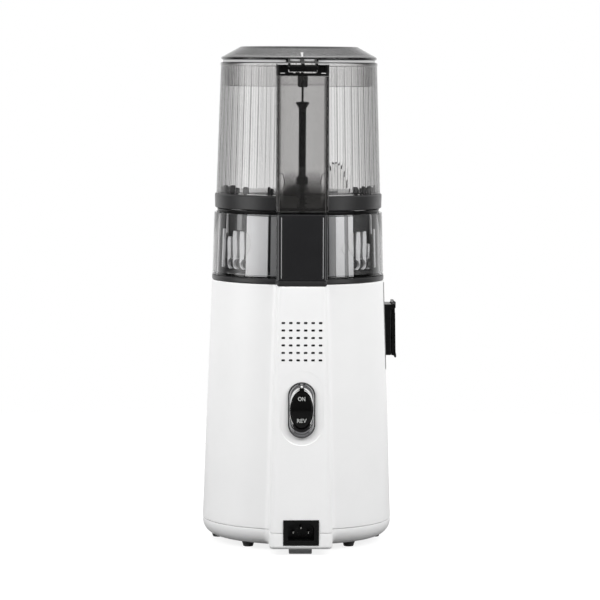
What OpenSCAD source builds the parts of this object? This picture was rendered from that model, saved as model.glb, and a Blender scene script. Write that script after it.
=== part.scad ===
// Cold press juicer: white base with a rear column, clear juicing bowl,
// tall fluted hopper with a hinged lid.
// Z is up and the floor is z = 0. The column, the switch and the power inlet
// face +Y, the spouts hang over the front, at -Y.
// The drive axis stands at [axis_x, axis_y], so the origin is under the middle
// of the whole machine. Every module works from the drive axis.

/* [Overall] */
// Height of the closed juicer
total_h = 461.5; // [450:0.5:470]
// Shift of the drive axis from the origin, along X
axis_x = 3.4; // [3:0.1:4]
// Shift of the drive axis from the origin, along Y
axis_y = -5.1; // [-6:0.1:-4]

/* [Base] */
// Radius of the base just above its seam
body_r_low = 88.05; // [87.5:0.05:88.6]
// Radius of the base at its top
body_r_top = 80.9; // [80.7:0.1:81.3]
// Wall of the base shell
body_wall = 2.6; // [2.4:0.1:2.8]
// Top of the base
body_z = 244.2; // [244:0.1:244.3]
// Width of the rear column at the floor
column_w_low = 57.9; // [56:0.1:60]
// Width of the rear column at the top of the base
column_w_top = 44.8; // [44.6:0.1:46]
// Distance from the drive axis to the column's face, at the floor
column_d_low = 109; // [108.5:0.1:109.5]
// Distance from the drive axis to the column's face, at the top of the base
column_d_top = 101; // [100.8:0.1:101.5]
// Radius of the column's upright edges
column_edge_r = 3; // [2:0.5:4]

/* [Vents] */
// Number of vent holes across and up
vent_n = 6; // [4:1:6]
// Distance between vent holes
vent_pitch = 6.75; // [6:0.05:7]

/* [Drive] */
// Teeth on each big gear
gear_teeth = 52; // [52]
// Teeth on each pinion
pinion_teeth = 12; // [12]
// Width of the output gear's teeth
gear_face = 12; // [10:0.5:12]
// Distance across the flats of the drive hexagon
hex_af = 16; // [15:0.1:16]

/* [Bowl] */
// Wall of the juicing bowl
bowl_wall = 2.4; // [2:0.1:2.6]
// Number of ribs around the strainer
strainer_ribs = 24; // [18:2:28]

/* [Hopper] */
// Wall of the hopper
hopper_wall = 2.2; // [2:0.1:2.4]
// Width of the hopper's rear spine
spine_w = 47.3; // [46:0.1:48]

/* [Hidden] */
$fn = 96;
e = 0.01;

// colours
c_white = [0.93, 0.93, 0.93];
c_grey = [0.25, 0.25, 0.26];
c_smoke = [0.45, 0.45, 0.46, 0.6];
c_clear = [0.8, 0.82, 0.84, 0.4];
c_black = [0.06, 0.06, 0.06];
c_steel = [0.7, 0.7, 0.72];

// height levels
seam_z = 20.5;
cover_z = 5;
ring_z0 = 244.5;
ring_z1 = 249.2;
bowl_z1 = 307.5;
collar_z0 = 311;
collar_z1 = 324.7;
hopper_z1 = total_h - 15.3;
lid_rim_z = total_h - 14.9;
hinge_y = 90.5;
hinge_z = total_h - 19.7;
rod_y = 84;

// gear train
centres = (gear_teeth + pinion_teeth) / 2;
mid_y = -centres;

// column size at a height
function lerp(a, b, t) = a + (b - a) * t;
function col_t(z) = (z - 6) / (body_z - 6);
function col_w(z) = lerp(column_w_low, column_w_top, col_t(z));
function col_d(z) = lerp(column_d_low, column_d_top, col_t(z));
col_tilt = atan((column_d_low - column_d_top) / (body_z - 6));
function spine_d(z) = lerp(98.2, 94, (z - collar_z0) / (hopper_z1 - collar_z0));

module place() { translate([axis_x, axis_y, 0]) children(); }
// frame on the column's face: y outwards, z up the face
module on_column(z) { translate([0, col_d(z), z]) rotate([col_tilt, 0, 0]) children(); }
module ring(r1, r0, h) { difference() { cylinder(r = r1, h = h); translate([0, 0, -1]) cylinder(r = r0, h = h + 2); } }
// rod along X and along Y, centred
module rod_x(r, l) { rotate([0, 90, 0]) cylinder(r = r, h = l, center = true); }
module rod_y(r, l) { rotate([90, 0, 0]) cylinder(r = r, h = l, center = true); }
module around(n, r, a0 = 0) { for (i = [0:n - 1]) rotate([0, 0, a0 + i * 360 / n]) translate([r, 0, 0]) children(); }

// tapered column with rounded upright edges, from z0 to z1, set in by s
module column_solid(z0, z1, s = 0) {
  er = max(column_edge_r - s, 0.6);
  hull() for (z = [z0, z1 - e], sx = [-1, 1]) {
    translate([sx * (col_w(z) / 2 - s - er), col_d(z) - s - er, z]) cylinder(r = er, h = e, $fn = 32);
    translate([sx * (col_w(z) / 2 - s) - (sx > 0 ? 1 : 0), 60, z]) cube([1, 1, e]);
  }
}

// involute gear outline, module 1, 25 degree flanks
function inv_a(rb, r) = let (t = sqrt(max(pow(r / rb, 2) - 1, 0))) t * 180 / PI - atan(t);
function flank(z, r) = let (rp = z / 2, rb = rp * cos(25)) 90 / z - 0.07 / rp * 180 / PI + inv_a(rb, rp) - inv_a(rb, max(r, rb));
function tooth(z, k) = let (rp = z / 2, rb = rp * cos(25), ra = rp + 0.92, rr = rp - 1.15, r0 = max(rb, rr), c = k * 360 / z,
    rs = [for (i = [0:4]) lerp(r0, ra, i / 4)])
  concat(rr < rb ? [[rr * cos(c - flank(z, rb)), rr * sin(c - flank(z, rb))]] : [],
    [for (r = rs) [r * cos(c - flank(z, r)), r * sin(c - flank(z, r))]],
    [for (i = [4:-1:0]) [rs[i] * cos(c + flank(z, rs[i])), rs[i] * sin(c + flank(z, rs[i]))]],
    rr < rb ? [[rr * cos(c + flank(z, rb)), rr * sin(c + flank(z, rb))]] : []);
module gear_2d(z) { polygon([for (k = [0:z - 1]) each tooth(z, k)]); }

// ---------------------------------------------------------------- base

module pan_2d(s) {
  translate([0, cover_z + s]) square([74, seam_z - cover_z - s]);
  intersection() { translate([74, 19.1]) circle(r = 14.05 - s); translate([60, cover_z]) square([30, seam_z - cover_z]); }
}
module inlet_hole(s) { translate([-16.2 - s, 80, 9.5 - s]) cube([32.4 + 2 * s, 40, 23.1 + 2 * s]); }
cover_screw_a = [20, 160, -32, -148];
cover_screw_r = 80;
board_screws = [[-16.5, 46], [16.5, 46], [-16.5, 100], [16.5, 100]];

// white outer shell with the rear column
module body_shell() {
  color(c_white) place() difference() {
    union() {
      difference() {
        union() {
          rotate_extrude() polygon([[0, seam_z + 0.4], [body_r_low, seam_z + 0.4], [body_r_low - 0.45, 33], [body_r_low - 2.65, 112],
            [body_r_top + 0.3, 236], [body_r_top, body_z - 0.9], [body_r_top - 0.7, body_z], [0, body_z]]);
          column_solid(seam_z + 0.4, body_z);
        }
        rotate_extrude() polygon([[0, seam_z], [body_r_low - body_wall, seam_z], [body_r_low - 0.45 - body_wall, 33],
          [body_r_low - 2.65 - body_wall, 112], [78.3, 231], [75.6, 234.5], [75.6, 238], [78.3, 238], [78.3, body_z + 1], [0, body_z + 1]]);
        column_solid(seam_z, body_z - body_wall, body_wall);
      }
      // screw bosses on ribs, board posts and the shelf of the interlock switch
      for (a = cover_screw_a) rotate([0, 0, a]) difference() {
        union() { translate([cover_screw_r, 0, seam_z + 0.4]) cylinder(r = 4, h = 22); translate([cover_screw_r, -1, seam_z + 0.4]) cube([5.9, 2, 22]); }
        translate([cover_screw_r, 0, seam_z]) cylinder(r = 1.5, h = 24);
      }
      for (q = board_screws) translate([q[0], 96.5, q[1]]) difference() { rod_y(3.2, 17.8); translate([0, -1.5, 0]) rod_y(1.5, 16); }
      difference() { translate([-12, 80.5, 219.2]) cube([24, 19, 2.8]); translate([-9, 82.5, 210]) cube([18, 3.2, 20]); }
    }
    // vent holes
    on_column(194.5) for (i = [0:vent_n - 1], j = [0:vent_n - 1])
      translate([(i - (vent_n - 1) / 2) * vent_pitch, 0, (j - (vent_n - 1) / 2) * vent_pitch]) cube([3.2, 12, 1.8], center = true);
    on_column(132.6) translate([-10.6, -8, -17.7]) cube([21.2, 16, 35.4]);
    inlet_hole(0.15);
    translate([0, rod_y, body_z - 10]) cylinder(r = 2.7, h = 20);
  }
}

// white bottom cover, screwed up into the shell
module base_cover() {
  color(c_white) place() difference() {
    union() {
      difference() {
        union() {
          rotate_extrude() pan_2d(0);
          column_solid(6, seam_z);
        }
        translate([0, 0, e]) rotate_extrude() pan_2d(2.6);
        translate([0, 0, 0]) column_solid(8.6, seam_z + 1, 2.6);
      }
      difference() {
        translate([0, 0, 15]) ring(85.1, 83.2, 11);
        translate([-40, 60, 10]) cube([80, 60, 20]);
        for (a = cover_screw_a) rotate([0, 0, a]) translate([cover_screw_r, 0, 0]) cylinder(r = 5.8, h = 40);
      }
      for (a = cover_screw_a) rotate([0, 0, a]) translate([cover_screw_r, 0, 10]) cylinder(r = 4, h = seam_z + 0.4 - 10);
      around(4, 46, 45) translate([0, 0, 6]) cylinder(r = 5, h = 34);
    }
    for (a = cover_screw_a) rotate([0, 0, a]) translate([cover_screw_r, 0, 0]) { cylinder(r = 1.7, h = 40); cylinder(r = 3.6, h = 15); }
    around(4, 46, 45) { cylinder(r = 1.9, h = 60); translate([0, 0, 0]) cylinder(r = 3.8, h = 12); }
    around(16, 27) translate([-8, -1.5, 0]) cube([16, 3, 12]);
    inlet_hole(0.15);
  }
}

// dark deck that closes the base under the bowl
module top_deck() {
  color(c_grey) place() difference() {
    union() {
      translate([0, 0, 238]) cylinder(r = 78, h = 4.6);
      translate([0, 0, 226]) cylinder(r = 19, h = 12.5);
      around(6, 45, 30) translate([-26, -1, 233]) cube([50, 2, 6]);
    }
    translate([0, 0, 220]) cylinder(r = 9.8, h = 40);
    translate([0, 0, 225]) cylinder(r = 15, h = 9);
    translate([0, 0, 237]) cylinder(r = 15, h = 9);
  }
}

foot_xy = [[46.5, 50], [73.9, -7.8], [37.5, -62], [-46.5, 50], [-73.9, -7.8], [-37.5, -62]];
module round_feet() {
  color(c_black) place() difference() {
    for (p = foot_xy) translate([p[0], p[1], 0]) { cylinder(r = 5.2, h = 9); }
    rotate_extrude() pan_2d(0);
  }
}
module rear_foot() { color([0.5, 0.5, 0.5]) place() translate([-10.4, 86, 0]) cube([20.8, 11, 6]); }
module cover_screws() {
  color(c_steel) place() {
    for (a = cover_screw_a) rotate([0, 0, a]) translate([cover_screw_r, 0, 0]) { translate([0, 0, 12.4]) cylinder(r = 3.2, h = 2.6); translate([0, 0, 14]) cylinder(r = 1.5, h = 24); }
    around(4, 46, 45) { translate([0, 0, 9]) cylinder(r = 3.5, h = 3); translate([0, 0, 11]) cylinder(r = 1.8, h = 39.5); translate([0, 0, 50]) cylinder(r = 3.5, h = 3); }
  }
}

// ---------------------------------------------------------------- switch and inlet

sw_z = 132.6;
pivot_d = 6;
module stadium(w, h, t) { translate([0, 0, 0]) rotate([-90, 0, 0]) { translate([-w / 2, -(h - w) / 2, 0]) cube([w, h - w, t]); for (s = [-1, 1]) translate([0, s * (h - w) / 2, 0]) cylinder(r = w / 2, h = t); } }
module switch_bezel() {
  color(c_steel) place() on_column(sw_z) difference() {
    stadium(24.5, 50.4, 1.7);
    translate([0, -1, 0]) stadium(20.9, 35.1, 6);
  }
}
module switch_housing() {
  color(c_black) place() on_column(sw_z) difference() {
    translate([-12.2, -22, -19.6]) cube([24.4, 19.2, 39.2]);
    translate([-10.5, -19, -17.6]) cube([21, 30, 35.2]);
    translate([0, -pivot_d, 0]) rod_x(1.25, 40);
  }
}
// rocker: a barrel turned about its own pivot, cut to a shallow V in front
module switch_rocker() {
  color(c_black) place() on_column(sw_z) translate([0, -pivot_d, 0]) {
    intersection() {
      rotate([0, 90, 0]) rotate_extrude() polygon(concat([[0, -10.1]], [for (t = [-84:14:84]) [17.1 * cos(t), 10.1 * sin(t)]], [[0, 10.1]]));
      union() {
        rotate([5, 0, 0]) translate([-12, -8, 0]) cube([24, 14.6, 20]);
        rotate([-5, 0, 0]) translate([-12, -8, -20]) cube([24, 14.6, 20]);
      }
    }
    rod_x(1.2, 22.6);
  }
}
module inlet_socket() {
  color(c_black) place() difference() {
    translate([-16.2, 90, 9.5]) cube([32.4, 19.4, 23.1]);
    difference() {
      translate([-12, 94, 14]) cube([24, 20, 15.8]);
      for (s = [-1, 1]) translate([s * 12, 100, 29.8]) rotate([0, 45, 0]) cube([7, 60, 7], center = true);
    }
    for (x = [-7, 7]) translate([x - 1, 80, 19.4]) cube([2, 40, 4]);
    translate([-1, 80, 23.2]) cube([2, 40, 4]);
  }
}
module inlet_pins() {
  color(c_steel) place() {
    for (x = [-7, 7]) translate([x - 1, 84, 19.4]) cube([2, 20.5, 4]);
    translate([-1, 84, 23.2]) cube([2, 21.5, 4]);
  }
}

// ---------------------------------------------------------------- motor

module motor_bracket() {
  color(c_steel) place() difference() {
    union() {
      translate([0, 0, 46]) cylinder(r = 52, h = 4);
      translate([0, 0, 42]) cylinder(r = 14, h = 12);
      around(4, 45) translate([0, 0, 46]) cylinder(r = 4.6, h = 16);
      rotate([0, 0, 141]) translate([45, -8, 46]) cube([21.8, 16, 4]);
      rotate([0, 0, 141]) translate([66.8, 0, 46]) cylinder(r = 8, h = 4);
    }
    rotate([0, 0, 141]) translate([66.8, 0, 40]) cylinder(r = 4, h = 20);
    translate([0, 0, 40]) cylinder(r = 11, h = 11);
    translate([0, 0, 40]) cylinder(r = 7, h = 30);
    around(4, 45) cylinder(r = 2.1, h = 90);
    around(4, 46, 45) cylinder(r = 1.9, h = 90);
    around(8, 29, 22.5) translate([-8, -4, 40]) cube([16, 8, 20]);
  }
}
module stator_core() {
  color([0.45, 0.45, 0.48]) place() translate([0, 0, 62]) difference() {
    cylinder(r = 50, h = 55);
    translate([0, 0, -1]) cylinder(r = 28.4, h = 60);
    around(4, 45) translate([0, 0, -1]) cylinder(r = 2.1, h = 60);
    around(12, 33, 15) translate([-6, -2, -1]) cube([12, 4, 60]);
  }
}
module stator_windings() {
  color([0.72, 0.35, 0.15]) place() {
    for (z = [[54, 61.9], [117.1, 125]])
      rotate_extrude() polygon([[31, z[0] + 2], [33, z[0]], [37.5, z[0]], [39.5, z[0] + 2], [39.5, z[1]], [31, z[1]]]);
    around(12, 33, 15) translate([-1.5, -1.8, 60]) cube([7.2, 3.6, 59]);
  }
}
module motor_bolts() {
  color(c_steel) place() around(4, 45) { translate([0, 0, 42.8]) cylinder(r = 3.6, h = 3.2); translate([0, 0, 45]) cylinder(r = 2, h = 92); translate([0, 0, 135]) cylinder(r = 3.6, h = 3); }
}
module rubber_mounts() { color(c_black) place() around(4, 46, 45) translate([0, 0, 40]) ring(5.6, 1.9, 6); }
module motor_bearings() { color(c_steel) place() for (z = [43.5, 129]) translate([0, 0, z]) ring(11, 5.03, 7.5); }
module rotor_core() { color([0.5, 0.5, 0.52]) place() translate([0, 0, 62]) ring(27.9, 5, 55); }
module motor_shaft() {
  color(c_steel) place() {
    translate([0, 0, 26]) cylinder(r = 5, h = 112);
    translate([0, 0, 138]) cylinder(r = 4.6, h = 13.5);
    translate([0, 0, 139]) linear_extrude(12) rotate(-90) gear_2d(pinion_teeth);
  }
}
module cooling_fan() {
  color(c_white) place() translate([0, 0, 28]) difference() {
    union() {
      cylinder(r = 9, h = 11);
      translate([0, 0, 9]) cylinder(r = 36, h = 1.6);
      around(9, 0) rotate([0, 0, 20]) translate([7, -0.8, 0.5]) cube([28, 1.6, 9]);
    }
    translate([0, 0, -1]) cylinder(r = 5, h = 20);
  }
}

// ---------------------------------------------------------------- gearbox

module two_round(r, h) { cylinder(r = r, h = h); translate([0, mid_y, 0]) cylinder(r = r, h = h); translate([-r, mid_y, 0]) cube([2 * r, centres, h]); }
gb_screws = [[34, 10], [-34, 10], [34, -42], [-34, -42]];
module gearbox_housing() {
  color(c_steel) place() difference() {
    union() {
      translate([0, 0, 131]) cylinder(r = 52, h = 4);
      translate([0, 0, 131]) two_round(32, 41);
      for (p = gb_screws) translate([p[0], p[1], 131]) cylinder(r = 4.2, h = 41);
      around(4, 45) translate([0, 0, 117]) cylinder(r = 4.6, h = 15);
      translate([0, 0, 127]) cylinder(r = 14, h = 8);
    }
    translate([0, 0, 136.5]) two_round(29, 50);
    translate([0, 0, 129]) cylinder(r = 11, h = 7.5);
    translate([0, 0, 120]) cylinder(r = 7, h = 30);
    around(4, 45) translate([0, 0, 110]) cylinder(r = 2.1, h = 25.001);
    around(4, 45) translate([0, 0, 135]) cylinder(r = 4.2, h = 3.4);
    translate([0, mid_y, 133]) cylinder(r = 3, h = 10);
    for (p = gb_screws) translate([p[0], p[1], 150]) cylinder(r = 1.5, h = 40);
  }
}
module gearbox_cover() {
  color(c_steel) place() difference() {
    union() {
      translate([0, 0, 172]) two_round(32, 4);
      for (p = gb_screws) translate([p[0], p[1], 172]) cylinder(r = 4.2, h = 4);
      translate([0, 0, 172]) cylinder(r = 19, h = 13);
    }
    translate([0, 0, 174]) cylinder(r = 15, h = 9);
    translate([0, 0, 170]) cylinder(r = 12, h = 30);
    translate([0, mid_y, 171]) cylinder(r = 3, h = 4);
    for (p = gb_screws) translate([p[0], p[1], 170]) cylinder(r = 1.6, h = 20);
  }
}
module gearbox_screws() { color(c_steel) place() for (p = gb_screws) translate([p[0], p[1], 0]) { translate([0, 0, 152]) cylinder(r = 1.5, h = 25); translate([0, 0, 176]) cylinder(r = 3, h = 2.4); } }
module intermediate_axle() { color(c_steel) place() translate([0, mid_y, 133]) cylinder(r = 3, h = 42); }
module intermediate_gear() {
  color([0.85, 0.83, 0.75]) place() translate([0, mid_y, 0]) difference() {
    union() {
      translate([0, 0, 140]) linear_extrude(10) rotate(90 + 180 / gear_teeth) gear_2d(gear_teeth);
      translate([0, 0, 150]) linear_extrude(19) rotate(90) gear_2d(pinion_teeth);
      translate([0, 0, 138]) cylinder(r = 4.6, h = 3);
    }
    translate([0, 0, 130]) cylinder(r = 3.05, h = 50);
  }
}
module output_gear() {
  color(c_steel) place() difference() {
    union() {
      translate([0, 0, 154]) linear_extrude(gear_face) rotate(-90 + 180 / gear_teeth) gear_2d(gear_teeth);
      translate([0, 0, 153]) cylinder(r = 12, h = 17);
    }
    translate([0, 0, 150]) cylinder(r = 8, h = 40);
  }
}
module output_shaft() {
  color(c_steel) place() {
    translate([0, 0, 152.6]) cylinder(r = 8, h = 93.4);
    translate([0, 0, 244.8]) cylinder(r = hex_af / 2 / cos(30), h = 21.2, $fn = 6);
    translate([0, 0, 266]) cylinder(r1 = 7.9, r2 = 6.4, h = 2);
  }
}
module shaft_bearings() { color(c_steel) place() for (z = [174, 225.5]) translate([0, 0, z]) ring(15, 8.04, 8.5); }
module shaft_seal() { color(c_black) place() translate([0, 0, 237]) ring(14.9, 8.1, 5.4); }

// ---------------------------------------------------------------- electrics

module control_board() {
  color([0.1, 0.35, 0.2]) place() difference() {
    translate([-20, 86, 42]) cube([40, 1.6, 62]);
    for (q = board_screws) translate([q[0], 87, q[1]]) rod_y(1.6, 10);
  }
}
module board_components() {
  color(c_black) place() {
    translate([-16, 87.6, 52]) cube([14, 11, 18]);
    translate([3, 87.6, 54]) cube([12, 9, 9]);
    translate([8, 93, 74]) rotate([0, 0, 0]) cylinder(r = 5, h = 18);
    translate([-14, 87.6, 78]) cube([10, 4, 10]);
    for (q = board_screws) translate([q[0], 0, q[1]]) { translate([0, 89, 0]) rod_y(1.45, 9); translate([0, 85.1, 0]) rod_y(2.8, 1.8); }
  }
}
module motor_capacitor() {
  color([0.8, 0.8, 0.8]) place() rotate([0, 0, 141]) translate([66.8, 0, 0]) {
    translate([0, 0, 50]) cylinder(r = 12, h = 46);
    translate([0, 0, 96]) cylinder(r = 8, h = 4);
    translate([0, 0, 44]) cylinder(r = 3.9, h = 7);
    translate([0, 0, 43]) cylinder(r = 6.5, h = 3);
  }
}
module interlock_switch() {
  color(c_black) place() {
    translate([-10, 80.5, 222]) cube([20, 7, 15]);
    translate([0, rod_y, 236]) cylinder(r = 1.5, h = 3.3);
    for (x = [-7, 0, 7]) translate([x - 1, 83.5, 217]) cube([2, 1, 6]);
  }
}
// a wire swept along a smoothed list of points
function mix(a, b, t) = a * (1 - t) + b * t;
function smooth(p) = let (n = len(p)) concat([p[0]], [for (i = [0:n - 2]) each [mix(p[i], p[i + 1], 0.25), mix(p[i], p[i + 1], 0.75)]], [p[n - 1]]);
function unit(v) = v / norm(v);
module wire(pts, r = 1.1, m = 8) {
  p = smooth(smooth(pts));
  n = len(p);
  t = [for (i = [0:n - 1]) unit(i == 0 ? p[1] - p[0] : i == n - 1 ? p[i] - p[i - 1] : p[i + 1] - p[i - 1])];
  x = [for (i = [0:n - 1]) unit(cross(t[i], [0.92, 0.31, 0.22]))];
  polyhedron(
    points = [for (i = [0:n - 1], j = [0:m - 1]) p[i] + r * cos(j * 360 / m) * x[i] + r * sin(j * 360 / m) * cross(t[i], x[i])],
    faces = concat([for (i = [0:n - 2], j = [0:m - 1]) [i * m + j, i * m + (j + 1) % m, (i + 1) * m + (j + 1) % m, (i + 1) * m + j]],
      [[for (j = [m - 1:-1:0]) j]], [[for (j = [0:m - 1]) (n - 1) * m + j]]), convexity = 6);
}
module internal_wiring() {
  color([0.6, 0.1, 0.1]) place() {
    wire([[-7, 83.8, 21.4], [-7, 78, 21.4], [-9, 78, 36], [-10, 84.7, 49]]);
    wire([[7, 83.8, 21.4], [7, 78, 21.4], [9, 78, 36], [10, 84.7, 49]]);
    wire([[0, 83.8, 25.2], [0, 76, 25.2], [0, 68, 44], [0, 53.4, 48]]);
    wire([[-7, 84, 216.8], [-7, 84, 206], [-17, 82, 190], [-17, 82, 112], [-10, 84.7, 94]]);
    wire([[7, 84, 216.8], [7, 84, 206], [17, 82, 190], [17, 82, 112], [10, 84.7, 94]]);
    wire([[5, 84.7, 88], [9, 72, 106], [15, 54, 121], [15.4, 37.1, 121]]);
    wire([[-13, 84.7, 84], [-30, 66, 104], [-50, 46, 112], [-51.5, 42.4, 100.3]]);
  }
}

// ---------------------------------------------------------------- bowl

// spine outline: a box behind a round wall
module spine_solid(z0, z1, w, d0, d1, s = 0) {
  hull() for (q = [[z0, d0], [z1 - e, d1]], sx = [-1, 1]) {
    translate([sx * (w / 2 - s - 2), q[1] - s - 2, q[0]]) cylinder(r = 2, h = e, $fn = 24);
    translate([sx * (w / 2 - s) - (sx > 0 ? 1 : 0), 60, q[0]]) cube([1, 1, e]);
  }
}
module bowl_base_ring() {
  color(c_grey) place() difference() {
    union() {
      translate([0, 0, ring_z0]) cylinder(r = 80.2, h = ring_z1 - ring_z0);
      spine_solid(ring_z0, ring_z1, 44.8, 101, 100.8);
    }
    translate([0, 0, ring_z0 - 1]) cylinder(r = 66, h = 10);
    translate([0, rod_y, 240]) cylinder(r = 2.7, h = 20);
  }
}
module bowl_cone(s, z0, z1) { rotate_extrude() polygon([[0, z0], [lerp(80, 78.3, (z0 - ring_z1) / 58.3) - s, z0], [lerp(80, 78.3, (z1 - ring_z1) / 58.3) - s, z1], [0, z1]]); }
juice_a = 219;
module juice_bowl() {
  color(c_clear) place() difference() {
    bowl_cone(0, ring_z1, bowl_z1);
    bowl_cone(bowl_wall, 252.2, bowl_z1 + 1);
    translate([0, 0, 240]) cylinder(r = 17.2, h = 20);
    // outlets through the wall
    rotate([0, 0, juice_a]) translate([70, -7, 253.4]) cube([16, 14, 7.6]);
    translate([-12, -90, 253.4]) cube([24, 16, 10]);
  }
}
module bowl_spine() {
  color(c_black) place() difference() {
    spine_solid(ring_z1, bowl_z1, 45.5, 100.7, 98.5);
    bowl_cone(-0.02, ring_z1 - 1, bowl_z1 + 1);
    difference() { spine_solid(ring_z1 - 1, bowl_z1 - 2, 45.5, 100.7, 98.5, 2); cylinder(r = 79.9, h = 260); }
    translate([0, rod_y, 240]) cylinder(r = 2.7, h = 90);
  }
}
module drive_seal() {
  color(c_black) place() translate([0, 0, ring_z1]) difference() {
    union() { cylinder(r = 17.2, h = 6); translate([0, 0, 3]) cylinder(r = 19.4, h = 3); }
    translate([0, 0, -1]) cylinder(r = 13.1, h = 10);
  }
}
module strainer() {
  color([0.75, 0.75, 0.77]) place() difference() {
    union() {
      rotate_extrude() polygon([[58, 252.2], [72, 252.2], [72, 255], [66, 255], [69.4, 298], [75.4, 299.4], [75.4, 302.4], [63, 302.4], [63, 300], [67, 299], [63.6, 256], [58, 255]]);
      around(strainer_ribs, 0) translate([65, -0.8, 254.5]) cube([7, 1.6, 45]);
    }
    around(strainer_ribs, 0, 180 / strainer_ribs) translate([60, -2.2, 259]) cube([12, 4.4, 35]);
  }
}
module bowl_gasket() {
  color(c_black) place() difference() {
    union() { translate([0, 0, bowl_z1]) cylinder(r = 75.7, h = 3.2); spine_solid(bowl_z1, bowl_z1 + 3.2, 41, 95, 95); }
    translate([0, 0, bowl_z1 - 1]) cylinder(r = 71, h = 6);
    translate([0, rod_y, bowl_z1 - 1]) cylinder(r = 2.9, h = 6);
  }
}

// juice spout: a neck that hangs outside the base and a block that opens sideways
module juice_spout() {
  color(c_black) place() difference() {
    union() {
      difference() {
        intersection() { translate([-82.4, -74, 170]) cube([28, 36, 93.6]); translate([0, 0, 160]) cylinder(r = 102, h = 110); }
        translate([0, 0, 100]) cylinder(r = 84.8, h = 144.35);
      }
      difference() { translate([-90.2, -60, 170]) cube([30, 32, 50]); translate([0, 0, 100]) cylinder(r = 84.8, h = 200); }
      for (y = [-60, -31]) translate([-94.6, y, 216.8]) cube([8, 3, 5.2]);
    }
    translate([0, 0, 240]) cylinder(r = 80.25, h = 9.2);
    bowl_cone(-0.02, ring_z1 - 2, bowl_z1);
    // channel
    difference() {
      intersection() { translate([-80.2, -71.8, 172.4]) cube([23.6, 31.6, 88.8]); translate([0, 0, 160]) cylinder(r = 99.8, h = 110); }
      translate([0, 0, 100]) cylinder(r = 87.2, h = 150.7);
    }
    difference() { translate([-87.8, -57.6, 172.5]) cube([28, 27.2, 45.1]); translate([0, 0, 100]) cylinder(r = 87.2, h = 200); }
    // outlet
    translate([-100, -52, 174]) cube([16, 16, 16]);
    translate([-92.6, -44, 219.5]) rod_y(1.2, 60);
  }
}
module pulp_spout() {
  color(c_black) place() difference() {
    translate([-19, -97.3, 206]) cube([38, 30, 60]);
    translate([0, 0, 100]) cylinder(r = 84.8, h = 144.35);
    translate([0, 0, 200]) cylinder(r = 80.25, h = 49.2);
    bowl_cone(-0.02, ring_z1 - 2, bowl_z1);
    difference() { translate([-16.6, -94.9, 200]) cube([33.2, 30, 63.6]); cylinder(r = 86.6, h = 250.5); }
    translate([0, -95, 240]) rod_y(6, 12);
  }
}
module pulp_plug() { color([0.3, 0.3, 0.3]) place() { translate([0, -95.8, 240]) rod_y(5.95, 3); translate([0, -98.05, 240]) rod_y(8, 1.5); } }
module cap_hinge_pin() { color(c_steel) place() translate([-92.6, -44, 219.5]) rod_y(1.15, 31.6); }
module juice_cap() {
  color(c_black) place() difference() {
    union() {
      translate([-93.2, -60, 167.5]) cube([2.6, 32, 47]);
      translate([-93.2, -56.7, 210]) cube([2.6, 25.4, 8]);
      translate([-92.6, -44, 219.5]) rod_y(2.2, 25.4);
      translate([-94.8, -60, 165.5]) cube([2.4, 32, 3.4]);
    }
    translate([-92.6, -44, 219.5]) rod_y(1.2, 40);
  }
}
module cap_seal() { color([0.3, 0.3, 0.3]) place() translate([-90.6, -51, 175]) cube([2, 14, 14]); }

// ---------------------------------------------------------------- auger

module auger() {
  color([0.3, 0.3, 0.32]) place() difference() {
    union() {
      translate([0, 0, 246.8]) cylinder(r = 13, h = 14);
      rotate_extrude() polygon([[0, 257], [44, 257], [45, 258], [45, 260], [38, 266], [25, 304], [0, 304]]);
      translate([0, 0, 258]) linear_extrude(height = 42, twist = -150, slices = 20, segments = 4, $fn = 16) for (a = [0, 120, 240]) rotate(a) translate([20, -2.5]) square([39.6, 5]);
    }
    translate([0, 0, 246]) cylinder(r = (hex_af + 0.4) / 2 / cos(30), h = 24.5, $fn = 6);
    translate([0, 0, 290]) cylinder(r = 5, h = 20);
  }
}
// hexagon on top of the screw, with its stem let into the screw
module wing_hexagon() {
  color(c_steel) place() { translate([0, 0, 290.2]) cylinder(r = 4.95, h = 14.8); translate([0, 0, 304.05]) cylinder(r = 12 / 2 / cos(30), h = 11.95, $fn = 6); }
}
module cutting_wing() {
  color([0.4, 0.38, 0.37]) place() difference() {
    union() {
      translate([0, 0, 304.2]) cylinder(r = 13, h = 16);
      translate([0, 0, 320.2]) cylinder(r1 = 13, r2 = 7, h = 12);
      for (s = [0, 180]) rotate([0, 0, s]) intersection() {
        difference() { translate([-32, -60, 310]) cylinder(r = 62, h = 60); translate([-32, -60, 300]) cylinder(r = 59.6, h = 90); }
        if (s == 0) rotate([90, 0, 0]) translate([0, 0, -30]) linear_extrude(60) polygon([[-4, 317], [-4, 326], [-20, 340], [-28, 350], [-33, 353.5], [-38, 353], [-44, 349], [-50, 340], [-54, 328], [-55, 317]]);
        else rotate([90, 0, 0]) translate([0, 0, -30]) linear_extrude(60) polygon([[-4, 317], [-4, 326], [-30, 324], [-48, 319], [-50, 317]]);
      }
    }
    translate([0, 0, 300]) cylinder(r = 12.2 / 2 / cos(30), h = 17, $fn = 6);
  }
}
module lower_rod() { color(c_black) place() translate([0, rod_y, 0]) { translate([0, 0, 239.6]) cylinder(r = 2.3, h = 72.6); translate([0, 0, 262]) cylinder(r = 3.6, h = 2.5); } }

// ---------------------------------------------------------------- hopper

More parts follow.
